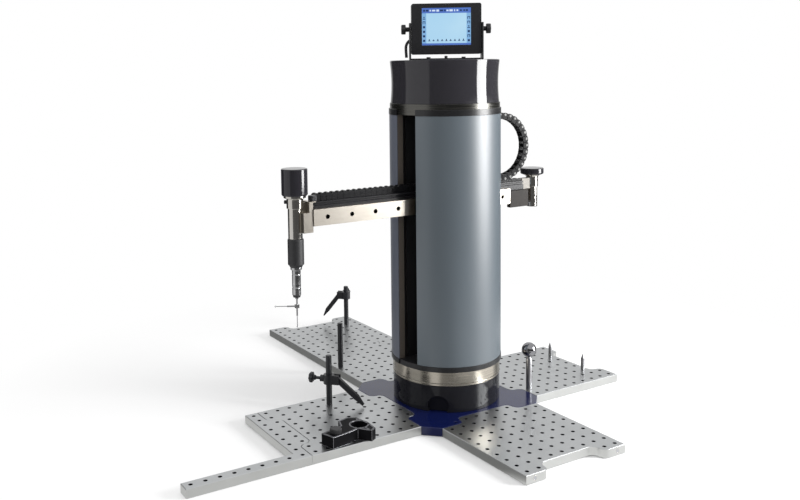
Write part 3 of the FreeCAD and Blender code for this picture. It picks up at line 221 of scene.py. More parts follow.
# pale grey for the raised ridges on the clamp block's top
ridgeGrey = satinBlack("paleBlockRidge", "#55555a", "#3e3e42", 0.35, 0.8, 0.0, 0.5)
rearGrey = satinBlack("beadBlastedHolder", "#9a968f", "#7d7a74", 0.4, 0.8, 0.0, 0.2)
# painted highlight: pale grey metal on the clamp block's rounded edges
blockEdgeHighlight = satinBlack("paintedHighlightBlockEdge", "#a4a4a8", "#7c7c80", 0.3, 0.8, 0.8)
plasticBlack = satinBlack("mouldedBlackPlastic", "#1a1a1c", "#121214", 0.45, 0.5)
rubberBlack = satinBlack("blackGripRubber", "#202022", "#17171a", 0.58, 0.8)
stripAluminium = groundSteel("anodisedStripAluminium", (1, 1, 20), "#8d8a88", "#6d6a6a", (0.3, 0.4))
# black for the column's inner parts, also for the sheet inside each skin that is painted shade
innerBlackAndShade = satinBlack("blackInnerSheetAndPaintedShade", "#1f1f21", "#151517", 0.4)
castGrey = satinPaint("paintedCastIron", "#3a3d42", "#2e3136", 0.5)
machinedAluminium = groundSteel("machinedAluminium", (1, 8, 1), "#b9babd", "#9fa1a5", (0.3, 0.42))
bracketSteel = groundSteel("milledBracketSteel", (1, 1, 8), "#bdb7ad", "#aca69c", (0.28, 0.34), 0.02)
stripGrey = satinPaint("brownAnodisedStrip", "#5d564f", "#4b4641", 0.3)
pinSteel = turnedSteel("satinPinSteel", "#a9a9ab", "#8a8a8c", 0.34, 1.5)
blockBlack = satinBlack("blackenedClampBlock", "#121214", "#0b0b0d", 0.42, 0.5, 0.0, 0.03)
capLacquer = glossLacquer("blackLacquerCaps", "#232226", 0.08)
gripBlack = satinBlack("blackGripSleeve", "#222224", "#1a1a1c", 0.5, 0.6)
caseBlack = satinBlack("blackDisplayCase", "#17171a", "#111114", 0.4, 0.5)
chainBlack = satinBlack("blackChainPlastic", "#18181a", "#101012", 0.3, 1.2, 0.0, 0.15)
# painted shade: the lift chain inside the column takes a darker copy of the black chain plastic
liftShadeBlack = satinBlack("shadedLiftChainPlastic", "#0f0f11", "#08080a", 0.34, 1.2, 0.0, 0.06)
# painted highlight: pale grey on parts of the lift chain's links
linkHighlight = satinBlack("paintedHighlightLinkGrey", "#7c7c7a", "#4e4e4d", 0.35, 1.2, 0.0, 0.2)


def litScreen(name, colour, deep, glow):
    # backlit display: even light with a faint 0.8 mm pixel grain, behind a glossy window
    made, tree, shader = startMaterial(name, colour, 0.0, 0.12)
    mixed = addNode(tree, "ShaderNodeMath", {"operation": "MULTIPLY_ADD", 1: 0.15},
                    {0: pattern(tree, 0.8, 1), 2: pattern(tree, 70, 1)})
    tree.links.new(tint(tree, mixed.outputs[0], deep, colour), shader.inputs["Emission Color"])
    shader.inputs["Base Color"].default_value = hexColour("#101418")
    shader.inputs["Emission Strength"].default_value = glow
    return made


screenField = litScreen("litScreenField", "#bfe3f7", "#9ccdf0", 0.95)
screenHeader = litScreen("litScreenHeader", "#5f86d6", "#4560b8", 0.9)
screenSide = litScreen("litScreenSide", "#8fbfe9", "#7aaee2", 0.9)
screenInk = litScreen("litScreenInk", "#27406e", "#1c2c52", 0.9)
screenPale = litScreen("litScreenPale", "#e6f2ff", "#cfe2fa", 0.95)
print("materials made")


# Mesh building from whole numpy arrays

def newPiece(name, points, faces, body, material, nodes=(), smoothAngle=35):
    # a mesh from an array of points in metres and a list of faces
    mesh = bpy.data.meshes.new(name)
    mesh.from_pydata(points.tolist(), [], faces)
    mesh.update()
    return finishPiece(name, mesh, body, material, nodes, smoothAngle)


def finishPiece(name, mesh, body, material, nodes=(), smoothAngle=35, bevelMm=0.0):
    # smooth faces with sharp edges past the angle, rounded edges if wanted, its body, the nodes it stands for
    mesh.materials.clear()
    mesh.materials.append(material)
    mesh.polygons.foreach_set("use_smooth", np.ones(len(mesh.polygons), bool))
    mesh.set_sharp_from_angle(angle=math.radians(smoothAngle))
    piece = newObject(name, mesh)
    if bevelMm:
        rounding = piece.modifiers.new("edge rounding", "BEVEL")
        rounding.width = bevelMm * mm
        rounding.segments = 2
        rounding.limit_method = "ANGLE"
        rounding.angle_limit = math.radians(40)
        rounding.harden_normals = True
    if body:
        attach(piece, body)
    if nodes:
        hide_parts(*nodes)
    return piece


def faceArrays(mesh):
    # every face's normal and every face's middle, as rows of x, y and z
    found = []
    for key in ("normal", "center"):
        values = np.empty(len(mesh.polygons) * 3)
        mesh.polygons.foreach_get(key, values)
        found.append(values.reshape(-1, 3))
    return found


def paintFaces(piece, numbers, *materials):
    # each face takes the material of its number: 0 is the piece's own, the rest are added here
    for material in materials:
        piece.data.materials.append(material)
    piece.data.polygons.foreach_set("material_index", numbers.astype(int))


def gridFaces(rows, columns, closeRows=False, closeColumns=False):
    # quads between neighbours of a rows by columns grid of points
    r = np.arange(rows if closeRows else rows - 1)
    c = np.arange(columns if closeColumns else columns - 1)
    a, b = np.meshgrid(r, c, indexing="ij")
    row, nextRow, nextB = a * columns, (a + 1) % rows * columns, (b + 1) % columns
    return np.stack([row + b, row + nextB, nextRow + nextB, nextRow + b], -1).reshape(-1, 4)


# How a profile's corners are rounded: the most of a run that a corner takes, and the distance in mm and the
# share of a run at which two points inside it keep its shading straight
cornerRule = {"most": 0.45, "hold": 0.3, "holdShare": 0.2}


def roundCorners(profile, radius, steps):
    # each corner p of a closed profile becomes (1 - t)^2*start + 2*t*(1 - t)*p + t^2*end, with start and end
    # radius away from it
    p = np.array(profile, float)
    before, after = np.roll(p, 1, 0), np.roll(p, -1, 0)
    radius = np.broadcast_to(np.array(radius, float), (len(p),))
    lengthA = np.linalg.norm(before - p, axis=1)
    lengthB = np.linalg.norm(after - p, axis=1)
    r = np.minimum(radius, np.minimum(lengthA, lengthB) * cornerRule["most"])[:, None]
    start = p + (before - p) / np.maximum(lengthA, 1e-9)[:, None] * r
    end = p + (after - p) / np.maximum(lengthB, 1e-9)[:, None] * r
    t = np.linspace(0, 1, steps + 1)[None, :, None]
    curve = (1 - t) ** 2 * start[:, None] + 2 * t * (1 - t) * p[:, None] + t ** 2 * end[:, None]
    run = np.roll(start, -1, 0) - end
    length = np.linalg.norm(run, axis=1)[:, None]
    inset = np.minimum(cornerRule["hold"], length * cornerRule["holdShare"])
    inset = run / np.maximum(length, 1e-9) * inset
    flat = np.concatenate([curve, (end + inset)[:, None], (end + run - inset)[:, None]], 1).reshape(-1, 2)
    keep = np.r_[True, np.linalg.norm(np.diff(flat, axis=0), axis=1) > 1e-6]
    return flat[keep]


def frameOf(direction):
    # three unit vectors, the last along direction
    w = np.array(direction, float)
    w /= np.linalg.norm(w)
    u = np.cross([0, 0, 1], w) if abs(w[2]) < 0.9 else np.array([1.0, 0, 0])
    u /= np.linalg.norm(u)
    return u, np.cross(w, u), w


def mended(points, faces):
    # joins points that lie together, such as those of a pole, and drops the faces that vanish
    key = np.round(points / 1e-7).astype(np.int64)
    _, first, inverse = np.unique(key, axis=0, return_index=True, return_inverse=True)
    faces = inverse.reshape(-1)[faces]
    same = faces == np.roll(faces, -1, 1)
    return points[first], [face[~gone].tolist() for face, gone in zip(faces, same) if (~gone).sum() > 2]


def outward(points, faces):
    # a closed surface's faces are turned round when its volume is negative: the sum over fans of triangles of
    # a . (b x c)
    volume = 0.0
    for size in {len(f) for f in faces}:
        f = np.array([face for face in faces if len(face) == size])
        for k in range(1, size - 1):
            a, b, c = points[f[:, 0]], points[f[:, k]], points[f[:, k + 1]]
            volume += np.einsum("ij,ij->i", a, np.cross(b, c)).sum()
    return [list(f)[::-1] if volume < 0 else list(f) for f in faces]


def turnedShape(profile, centre=(0, 0, 0), direction=(0, 0, 1), radius=0.6, segments=96, start=0.0, sweep=tau,
                steps=3, lobes=None):
    # the profile is a closed loop of (radius, height) in mm; its corners are rounded by radius, and then a
    # point at radius r and height h goes to centre + r*(cos a*u + sin a*v) + h*w for every angle a
    p = np.array(profile, float)
    p = roundCorners(p, np.where(p[:, 0] < 1e-6, 0, radius), steps) * mm
    u, v, w = frameOf(direction)
    whole = abs(sweep - tau) < 1e-9
    count = segments if whole else segments + 1
    a = start + np.linspace(0, sweep, segments + 1)[:count]
    radial = np.cos(a)[:, None] * u + np.sin(a)[:, None] * v
    r = p[:, 0][:, None] * (np.ones(count)[None] if lobes is None else lobes(p, a))
    points = (np.array(centre) * mm + r[..., None] * radial[None] + p[:, 1][:, None, None] * w).reshape(-1, 3)
    faces = gridFaces(len(p), count, True, whole)
    if whole:
        points, faces = mended(points, faces)
    else:
        end = np.arange(len(p)) * count
        faces = faces.tolist() + [end.tolist(), (end + count - 1)[::-1].tolist()]
    return points, outward(points, faces)


def turned(name, body, material, profile, centre=(0, 0, 0), direction=(0, 0, 1), nodes=(), smoothAngle=35,
           **shape):
    # a turned shape as a piece
    points, faces = turnedShape(profile, centre, direction, **shape)
    return newPiece(name, points, faces, body, material, nodes, smoothAngle)


def joined(parts):
    # several (points, faces) become one
    points, faces, shift = [], [], 0
    for p, f in parts:
        points.append(p)
        faces += [[i + shift for i in face] for face in f]
        shift += len(p)
    return np.concatenate(points), faces


def blockArrays(low, high, axes=straight, origin=(0, 0, 0)):
    # the eight corners of a box in mm, on the given axes
    low, high = np.array(low, float), np.array(high, float)
    corner = np.array([[i, j, k] for i in (0, 1) for j in (0, 1) for k in (0, 1)], float)
    points = (low + corner * (high - low)) @ np.array(axes)
    faces = [[0, 1, 3, 2], [4, 6, 7, 5], [0, 4, 5, 1], [2, 3, 7, 6], [0, 2, 6, 4], [1, 5, 7, 3]]
    return (points + np.array(origin)) * mm, faces


def prismArrays(outline, low, high, axes=straight, origin=(0, 0, 0)):
    # an outline in mm, raised from low to high along the third axis
    flat = np.array(outline, float)
    n = len(flat)
    both = np.concatenate([np.c_[flat, np.full(n, low)], np.c_[flat, np.full(n, high)]])
    points = (both @ np.array(axes, float) + np.array(origin)) * mm
    i = np.arange(n)
    j = (i + 1) % n
    sides = np.stack([i, j, j + n, i + n], -1).tolist()
    return points, outward(points, [i[::-1].tolist(), (i + n).tolist()] + sides)


def dressed(node, material, bevelMm, edge=None):
    # a copy of a CAD node with merged points, flat faces made whole and slightly rounded edges
    mesh = frame["nodes"][node].data.copy()
    work = bmesh.new()
    work.from_mesh(mesh)
    bmesh.ops.remove_doubles(work, verts=work.verts, dist=2e-6)
    bmesh.ops.dissolve_limit(work, angle_limit=math.radians(1), verts=work.verts, edges=work.edges)
    bmesh.ops.recalc_face_normals(work, faces=work.faces)
    work.to_mesh(mesh)
    work.free()
    for layer in list(mesh.attributes):
        if layer.name in ("custom_normal", "sharp_face"):
            mesh.attributes.remove(layer)
    piece = finishPiece(node + "Dressed", mesh, bodyOf(node), material, (node,), bevelMm=bevelMm)
    if edge:
        mesh.materials.append(edge)
        piece.modifiers[0].material = 1
    return piece


def paintAbove(piece, material, height):
    # faces whose middle is above the height take the second material
    _, centres = faceArrays(piece.data)
    paintFaces(piece, centres[:, 2] > height * mm, material)


def paintHoles(piece, material, face):
    # bore walls, and floors that lie behind the face at x = face, take the second material, painted dark as
    # the shade in the holes
    normals, centres = faceArrays(piece.data)
    bored = abs(normals).max(1) < 0.995
    sunk = (normals[:, 0] > 0.9) & (centres[:, 0] < (face - 0.5) * mm)
    paintFaces(piece, bored | sunk, material)


def box(node):
    # a node's lowest and highest corner in mm
    low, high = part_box(node)
    return np.array(low) / mm, np.array(high) / mm


def bodyOf(node):
    return frame["nodes"][node]["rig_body"]


# Camera, light and floor. The camera was fitted to the plates' grid of holes: f and centre are in pixels of
# the frame, place is in mm
cameraSetup = {"f": 889.6, "centre": (357.4, 149.6), "azimuth": 59.11, "elevation": 5.34, "roll": -0.84,
               "place": (1404.0, -1040.0, 672.5), "frame": (800, 500), "film": 36}


def makeCamera(setup):
    # the matrix's columns are the view's right, up and back, from azimuth and elevation and turned by roll
    data = bpy.data.cameras.new("camera")
    camera = newObject("camera", data)
    wide, high = setup["frame"]
    data.sensor_width = setup["film"]
    data.lens = setup["f"] / wide * setup["film"]
    data.shift_x = (wide / 2 - setup["centre"][0]) / wide
    data.shift_y = (setup["centre"][1] - high / 2) / wide
    data.clip_end = 50
    a, e, r = (math.radians(setup[k]) for k in ("azimuth", "elevation", "roll"))
    back = np.array([math.sin(a) * math.cos(e), -math.cos(a) * math.cos(e), math.sin(e)])
    right = np.cross(-back, [0, 0, 1])
    right /= np.linalg.norm(right)
    up = np.cross(right, -back)
    matrix = np.eye(4)
    matrix[:3, 0] = right * math.cos(r) + up * math.sin(r)
    matrix[:3, 1] = up * math.cos(r) - right * math.sin(r)
    matrix[:3, 2] = back
    matrix[:3, 3] = np.array(setup["place"]) * mm
    camera.matrix_world = Matrix(matrix.tolist())
    bpy.context.scene.camera = camera


# Softboxes, in metres and watts; only the one at the right shows in reflections
lights = {
    "rightSoftbox": {"place": (1.75, 1.92, 0.8), "aim": (0, 0, 0.55),
                     "size": (1.2, 1.5), "watts": 130, "seen": True},
    "leftSoftbox": {"place": (-0.6, -2.9, 1.5), "aim": (0, 0, 0.3),
                    "size": (1.6, 1.6), "watts": 26, "seen": False},
    "frontFill": {"place": (2.3, -1.2, 1.6), "aim": (0, 0, 0.3),
                  "size": (1.2, 1.2), "watts": 8, "seen": False},
    "topSoftbox": {"place": (0.1, 0.1, 2.6), "aim": (0, 0, 0),
                   "size": (2.2, 2.2), "watts": 18, "seen": False},
}

# Dark studio walls and table that only reflections see, in metres. The table's distances: where it starts,
# where it is full, where its near part ends and where its far part starts; low is its level, and soft the
# height of the wall's faded top. Each stop: the direction round the machine in degrees, the brightness of the
# wall and far table, the wall's height, the brightness of the near table
walls = {
    "radius": 3.0, "table": (0.12, 0.14, 0.7, 0.72), "low": 0.001, "soft": 0.12, "segments": 180,
    "stops": ((-180, 0.04, 0.86, 0.28), (-127, 0.04, 2.4, 0.28), (-124, 0.9, 2.4, 0.85),
              (-70, 0.8, 2.4, 0.85), (-66, 0.12, 2.4, 0.85), (-50, 0.12, 2.0, 0.85), (-46, 0.12, 2.0, 0.28),
              (-21, 0.1, 1.5, 0.28), (-17, 0.1, 1.4, 1.2), (42, 0.1, 0.86, 1.2), (74, 0.12, 0.86, 1.1),
              (112, 0.12, 0.86, 0.8), (128, 0.55, 0.7, 0.8), (172, 0.55, 0.7, 0.8), (180, 0.04, 0.86, 0.28)),
}

# The paper sweep under it all: it fades into the white background between the two distances
paper = {"radius": 14.0, "level": -0.0004, "fade": (0.4, 1.0), "colour": "#f4f4f4"}


def makeLights(setup):
    # each softbox looks along its own -z, so that axis is turned towards the aim
    for name, lamp in setup.items():
        data = bpy.data.lights.new(name, "AREA")
        data.shape = "RECTANGLE"
        data.size, data.size_y = lamp["size"]
        data.energy = lamp["watts"]
        light = newObject(name, data)
        light.location = lamp["place"]
        aim = Vector(lamp["aim"]) - Vector(lamp["place"])
        light.rotation_euler = aim.to_track_quat("-Z", "Y").to_euler()
        light.visible_glossy = lamp["seen"]


def eitherRay(tree, first, second):
    # 1 when either kind of ray is at work
    return addNode(tree, "ShaderNodeMath", {"operation": "MAXIMUM"}, {0: first, 1: second}).outputs[0]


def makeWorld(lit=0.55, seen=1.0):
    # white where the camera, a reflection or a clear surface looks, dimmer as a source of light
    world = bpy.data.worlds.new("studio")
    bpy.context.scene.world = world
    world.use_nodes = True
    tree = world.node_tree
    back = tree.nodes["Background"]
    rays = addNode(tree, "ShaderNodeLightPath").outputs
    direct = eitherRay(tree, rays["Is Camera Ray"], rays["Is Glossy Ray"])
    through = eitherRay(tree, direct, rays["Is Transmission Ray"])
    level = addNode(tree, "ShaderNodeMapRange", {"To Min": lit, "To Max": seen}, {"Value": through})
    tree.links.new(level.outputs["Result"], back.inputs["Strength"])
    back.inputs["Color"].default_value = (1, 1, 1, 1)


def makeWalls(setup):
    # rings of points outwards over the table and up the wall, each with a cover from 0 to 1 and a glow
    count = setup["segments"]
    ring = np.arange(count) / count * tau
    around = (np.degrees(ring) + 180) % 360 - 180
    degrees, levels, heights, near = np.array(setup["stops"]).T
    level, high, close = (np.interp(around, degrees, v) for v in (levels, heights, near))
    low, soft, radius, table = setup["low"], setup["soft"], setup["radius"], setup["table"]
    rows = ((table[0], low, 0, close), (table[1], low, 1, close), (table[2], low, 1, close),
            (table[3], low, 1, level), (radius, low, 1, level), (radius, high - soft, 1, level),
            (radius, high, 0, level))
    points = [np.c_[np.cos(ring) * r, np.sin(ring) * r, np.broadcast_to(z, count)] for r, z, _, _ in rows]
    mesh = bpy.data.meshes.new("studioWalls")
    mesh.from_pydata(np.concatenate(points).tolist(), [], gridFaces(len(rows), count, False, True).tolist())
    for name, column in (("cover", 2), ("glow", 3)):
        values = np.concatenate([np.broadcast_to(row[column], count) for row in rows]).astype(float)
        mesh.attributes.new(name, "FLOAT", "POINT").data.foreach_set("value", values)
    made = bpy.data.materials.new("darkStudioWall")
    made.use_nodes = True
    tree = made.node_tree
    tree.nodes.clear()
    glow, cover = (addNode(tree, "ShaderNodeAttribute", {"attribute_name": name}).outputs["Fac"]
                   for name in ("glow", "cover"))
    lit = addNode(tree, "ShaderNodeEmission", {"Color": (1, 1, 1, 1)}, {"Strength": glow})
    clear = addNode(tree, "ShaderNodeBsdfTransparent")
    mixed = addNode(tree, "ShaderNodeMixShader", {}, {0: cover, 1: clear.outputs[0], 2: lit.outputs[0]})
    addNode(tree, "ShaderNodeOutputMaterial", {}, {"Surface": mixed.outputs[0]})
    mesh.materials.append(made)
    wall = newObject("studioWalls", mesh)
    for kind in ("camera", "diffuse", "transmission", "volume_scatter", "shadow"):
        setattr(wall, "visible_" + kind, False)


def makeFloor(setup):
    # one square; it keeps the soft shadows near the object and glows plain white further out
    radius = setup["radius"]
    corners = [(x * radius, y * radius, setup["level"]) for x, y in ((-1, -1), (1, -1), (1, 1), (-1, 1))]
    mesh = bpy.data.meshes.new("paperFloor")
    mesh.from_pydata(corners, [], [(0, 1, 2, 3)])
    floor = newObject("paperFloor", mesh)
    made, tree, shader = startMaterial("whitePaperSweep", setup["colour"], 0.0, 0.9)
    place = addNode(tree, "ShaderNodeTexCoord")
    reach = addNode(tree, "ShaderNodeVectorMath", {"operation": "LENGTH"}, {0: place.outputs["Object"]})
    first, last = setup["fade"]
    far = addNode(tree, "ShaderNodeMapRange", {"From Min": first, "From Max": last},
                  {"Value": reach.outputs["Value"]})
    rays = addNode(tree, "ShaderNodeLightPath").outputs
    seen = eitherRay(tree, rays["Is Camera Ray"], rays["Is Glossy Ray"])
    share = addNode(tree, "ShaderNodeMath", {"operation": "MULTIPLY"}, {0: far.outputs["Result"], 1: seen})
    glow = addNode(tree, "ShaderNodeEmission", {"Color": (1, 1, 1, 1), "Strength": 1.0})
    mixed = addNode(tree, "ShaderNodeMixShader", {},
                    {0: share.outputs[0], 1: shader.outputs[0], 2: glow.outputs[0]})
    tree.links.new(mixed.outputs[0], tree.nodes["Material Output"].inputs["Surface"])
    mesh.materials.append(made)


makeCamera(cameraSetup)
makeLights(lights)
makeWorld()
makeFloor(paper)
makeWalls(walls)
bpy.context.scene.view_settings.view_transform = "Standard"
print("camera, light and floor made")


# Grid plates in mm: outlines filled with their holes, every edge and hole with a small chamfer. The first row
# of holes counts from the column's axis, and the pins are the dowel bores in the open ends
grid = {"pitch": 25.0, "firstRow": 127.5, "gap": 0.3, "holeRadius": 3.0, "chamfer": 0.7, "thick": 16.0,
        "holeSides": 16, "barRows": 8, "pinRadius": 4.05, "pinLane": 93.75, "pinLevel": 8.0,
        "fixing": (130.0, -75.0)}
grid["tongue"] = grid["firstRow"] - grid["pitch"] / 2  # where the first plate's tongue starts
grid["tail"] = grid["firstRow"] + grid["pitch"] * 8.5  # where its fork starts
grid["half"] = grid["pitch"] * 4.5  # half a plate's width


def arcPoints(start, end, radius, steps=6):
    # arc from start to end, anticlockwise for a positive radius: the centre is beside the chord's middle
    a, b = np.array(start, float), np.array(end, float)
    chord = b - a
    half = np.linalg.norm(chord) / 2
    normal = np.array([-chord[1], chord[0]]) / (2 * half)
    centre = (a + b) / 2 + normal * math.sqrt(max(radius ** 2 - half ** 2, 0)) * np.sign(radius)
    first, last = (np.arctan2(*(p - centre)[::-1]) for p in (a, b))
    turn = (last - first) % tau if radius > 0 else -((first - last) % tau)
    angle = first + np.linspace(0, turn, steps + 1)[:-1]
    return centre + abs(radius) * np.c_[np.cos(angle), np.sin(angle)]


def outlineOf(points, arcs):
    # straight runs between points, but an arc of the given radius after each point that arcs names
    runs = [arcPoints(p, points[(i + 1) % len(points)], arcs[i]) if i in arcs else np.array([p], float)
            for i, p in enumerate(points)]
    return np.concatenate(runs)


def stepIn(deep, wide, gap):
    # three points of the S-shaped step between two interlocking plates
    p = grid["pitch"]
    return [(deep + gap, wide), (deep + p / 2, wide + p / 2 - gap), (deep + p + gap, wide + p)]


def moduleOutline():
    # tongue towards the column, fork away from it
    p, gap, half, tail = grid["pitch"], grid["gap"], grid["half"], grid["tail"]
    near, far = stepIn(grid["tongue"], p * 2, gap), stepIn(tail, p * 2, 0)
    upper = near + [(grid["tongue"] + p + gap, half), (tail + p, half)] + far[::-1]
    points = upper + [(x, -y) for x, y in upper[::-1]]
    small, large, plain = p / 2 - gap, p / 2 + gap, p / 2
    return outlineOf(points, {0: -small, 1: large, 5: -plain, 6: plain, 8: plain, 9: -plain, 13: large,
                              14: -small})


def extensionOutline():
    # the same tongue, a short plate and a bar along one side
    p, gap, half, start = grid["pitch"], grid["gap"], grid["half"], grid["tail"]
    end, bar = start + p * 2, half - p
    reach = end + p * grid["barRows"]
    near = stepIn(start, p * 2, gap)
    points = near + [(start + p + gap, half), (reach, half), (reach, bar), (end, bar), (end, -half),
                     (start + p + gap, -half)] + [(x, -y) for x, y in near[::-1]]
    small, large = p / 2 - gap, p / 2 + gap
    return outlineOf(points, {0: -small, 1: large, 9: large, 10: -small})


def baseOutline():
    # one side with its notch, set down four times in quarter turns
    p, half = grid["pitch"], grid["half"]
    edge = grid["firstRow"] + p / 2
    steps = stepIn(grid["tongue"], p * 2, 0)
    side = [(edge, -half)] + [(x, -y) for x, y in steps[::-1]] + steps + [(edge, half)]
    points, arcs = [], {}
    for q, (c, s) in enumerate(((1, 0), (0, 1), (-1, 0), (0, -1))):
        points += [(c * x - s * y, s * x + c * y) for x, y in side]
        arcs.update({8 * q + 1: p / 2, 8 * q + 2: -p / 2, 8 * q + 4: -p / 2, 8 * q + 5: p / 2})
    return outlineOf(points, arcs)


def filledPlate(name, outline, holes, azimuth, out, material, node, others=()):
    # a flat curve filled between its outline and hole circles, thickened, its edges bevelled; the other
    # materials are the painted shade in the holes and the milled finish of the sides
    turn = math.radians(azimuth)
    spin = np.array([[math.cos(turn), math.sin(turn)], [-math.sin(turn), math.cos(turn)]])
    shift = np.array([math.cos(turn), math.sin(turn)]) * out
    ring = np.arange(grid["holeSides"]) / grid["holeSides"] * tau
    circle = np.c_[np.cos(ring), np.sin(ring)] * grid["holeRadius"]
    curve = bpy.data.curves.new(name, "CURVE")
    curve.dimensions = "2D"
    curve.fill_mode = "BOTH"
    curve.extrude = (grid["thick"] / 2 - grid["chamfer"]) * mm
    curve.bevel_depth = grid["chamfer"] * mm
    curve.bevel_resolution = 0
    curve.offset = -grid["chamfer"] * mm
    for loop in [outline] + [circle + hole for hole in holes]:
        placed = (loop @ spin + shift) * mm
        spline = curve.splines.new("POLY")
        spline.points.add(len(placed) - 1)
        spline.points.foreach_set("co", np.c_[placed, np.zeros(len(placed)), np.ones(len(placed))].ravel())
        spline.use_cyclic_u = True
    helper = newObject(name + "Curve", curve)
    bpy.context.view_layer.update()
    mesh = bpy.data.meshes.new_from_object(helper.evaluated_get(bpy.context.evaluated_depsgraph_get()))
    bpy.data.objects.remove(helper)
    mesh.transform(Matrix.Translation((0, 0, grid["thick"] / 2 * mm)))
    piece = finishPiece(name, mesh, "base", material, (node,), 25)
    if others:
        normals, centres = faceArrays(mesh)
        flat, upright = abs(normals[:, 2]) > 0.95, abs(normals[:, 2]) < 0.5
        places = (holes @ spin + shift) * mm
        away = np.linalg.norm(centres[:, None, :2] - places[None], axis=2).min(1)
        # painted shade: the chamfers and walls of the holes take the dark hole steel
        bored = (away < grid["holeRadius"] * 1.3 * mm) & ~flat
        paintFaces(piece, np.select([bored, upright], [1, 2], 0), *others)


def gridHoles():
    # ten rows of nine, with the corners left out at the tongue and the middle left out at the fork
    row, lane = np.meshgrid(np.arange(10), np.arange(-4, 5), indexing="ij")
    keep = ((row > 0) | (abs(lane) <= 2)) & ((row < 9) | (abs(lane) >= 3))
    return np.c_[grid["firstRow"] + grid["pitch"] * row[keep], grid["pitch"] * lane[keep]]


def extensionHoles():
    # five holes in the tongue, nine behind it and one row along the bar
    rows = [(9, k) for k in range(-2, 3)] + [(10, k) for k in range(-4, 5)]
    rows += [(11 + n, 4) for n in range(grid["barRows"])]
    return np.array([(grid["firstRow"] + grid["pitch"] * r, grid["pitch"] * k) for r, k in rows])


# painted shade for the holes, and the milled finish for the plates' sides
plateHoleShadeAndEdges = (holeShade, plateEdge)
for node, azimuth, out, steel in (("grid_plate_right", 0, 0, plateSteel),
                                  ("grid_plate_front", -90, 0, plateSteelAcross),
                                  ("grid_plate_left", 180, 0, plateSteel),
                                  ("grid_plate_left_outer", 180, grid["pitch"] * 9, plateSteel),
                                  ("grid_plate_rear", 90, 0, plateSteelAcross)):
    filledPlate(node + "Chamfered", moduleOutline(), gridHoles(), azimuth, out, steel, node, plateHoleShadeAndEdges)
filledPlate("extensionChamfered", extensionOutline(), extensionHoles(), -90, 0, plateSteelAcross,
            "grid_plate_extension", plateHoleShadeAndEdges)
fixingHoles = np.outer((1, -1), grid["fixing"])
filledPlate("basePlateChamfered", baseOutline(), fixingHoles, 0, 0, bluePlate, "base_plate")


def plateEndRings(places):
    # the two locating dowel bores that show in each open tab end: a bright rim round a dark bore
    r = grid["pinRadius"]
    rim = [(r - 0.6, 0.02), (r + 0.4, 0.02), (r + 0.4, 0.12), (r - 0.6, 0.12)]
    disc = [(0, 0.01), (r - 0.5, 0.01), (r - 0.5, 0.06), (0, 0.06)]
    for name, profile, corner, material in (("dowelBoreRims", rim, 0.03, tubeSteel),
                                            ("dowelBoreDiscs", disc, 0.01, machinedAluminium)):
        rounds = [turnedShape(profile, centre, direction, corner, 24) for centre, direction in places]
        newPiece(name, *joined(rounds), "base", material)


lane, level = grid["pinLane"], grid["pinLevel"]
near, far = grid["tail"] + grid["pitch"], grid["tail"] + grid["pitch"] * 10
plateEndRings([((near, lane * side, level), (1, 0, 0)) for side in (-1, 1)]
              + [((-far, lane * side, level), (-1, 0, 0)) for side in (-1, 1)]
              + [((lane * side, near, level), (0, 1, 0)) for side in (-1, 1)])
print("plates made")


# Drum, turned band, column skins and head, in mm; a reach is the distance of a skin's edges from the middle
column = {"bandRound": 0.5, "headWaist": 2.45, "headRound": 3.0}
# the black sheet just inside each skin is painted shade; shadeLiner gives its two gaps from the skin in mm
skin = {"radius": 108.4, "thick": 1.2, "proud": 0.8, "rightReach": 43, "leftReach": 6, "shadeLiner": (0.02, 0.18)}
guideLine = {"away": 88, "half": 0.9, "rise": (0.05, 1.2)}

dressed("base_drum", drumLacquer, 0.9)
for name, node, inner in (("seatRing", "bearing_seat_ring", 80), ("turntableRing", "turntable_ring", 60)):
    low, high = box(node)
    turned(name, bodyOf(node), bandSteel,
           [(inner, low[2]), (high[0], low[2]), (high[0], high[2]), (inner, high[2])], nodes=(node,),
           radius=column["bandRound"], segments=160)


def skinSpan(right):
    # a skin's first angle and sweep: its edges are straight cuts through the round
    limit = math.acos(skin["rightReach" if right else "leftReach"] / skin["radius"])
    return (0.0 if right else math.pi) - limit, 2 * limit


def skinShell(name, node, material):
    # curved sheet with rounded edges, and a black sheet on its inner side as painted shade inside the column
    low, high = box(node)
    start, sweep = skinSpan(high[0] > skin["radius"] / 2)
    outer, inner = skin["radius"], skin["radius"] - skin["thick"]
    turned(name, "column", material, [(inner, low[2]), (outer, low[2]), (outer, high[2]), (inner, high[2])],
           nodes=(node,), radius=0.3, start=start, sweep=sweep, steps=2)
    edge = math.radians(0.4)
    outer, inner = (inner - gap for gap in skin["shadeLiner"])
    turned(name + "ShadeLiner", "column", innerBlackAndShade,
           [(inner, low[2] + 1), (outer, low[2] + 1), (outer, high[2] - 1), (inner, high[2] - 1)],
           radius=0.02, segments=48, start=start + edge, sweep=sweep - 2 * edge, steps=1)


def skinTrims():
    # four arcs of black trim, below and above both skins
    low, high = box("skin_trims")
    skinLow, skinHigh = box("right_skin")
    inner, outer = skin["radius"] - skin["thick"], skin["radius"] + skin["proud"]
    parts = []
    for right in (True, False):
        start, sweep = skinSpan(right)
        for z1, z2 in ((low[2], skinLow[2]), (skinHigh[2], high[2])):
            parts.append(turnedShape([(inner, z1), (outer, z1), (outer, z2), (inner, z2)], radius=0.5,
                                     start=start, sweep=sweep))
    newPiece("skinTrims", *joined(parts), "column", trimPlastic, ("skin_trims",))


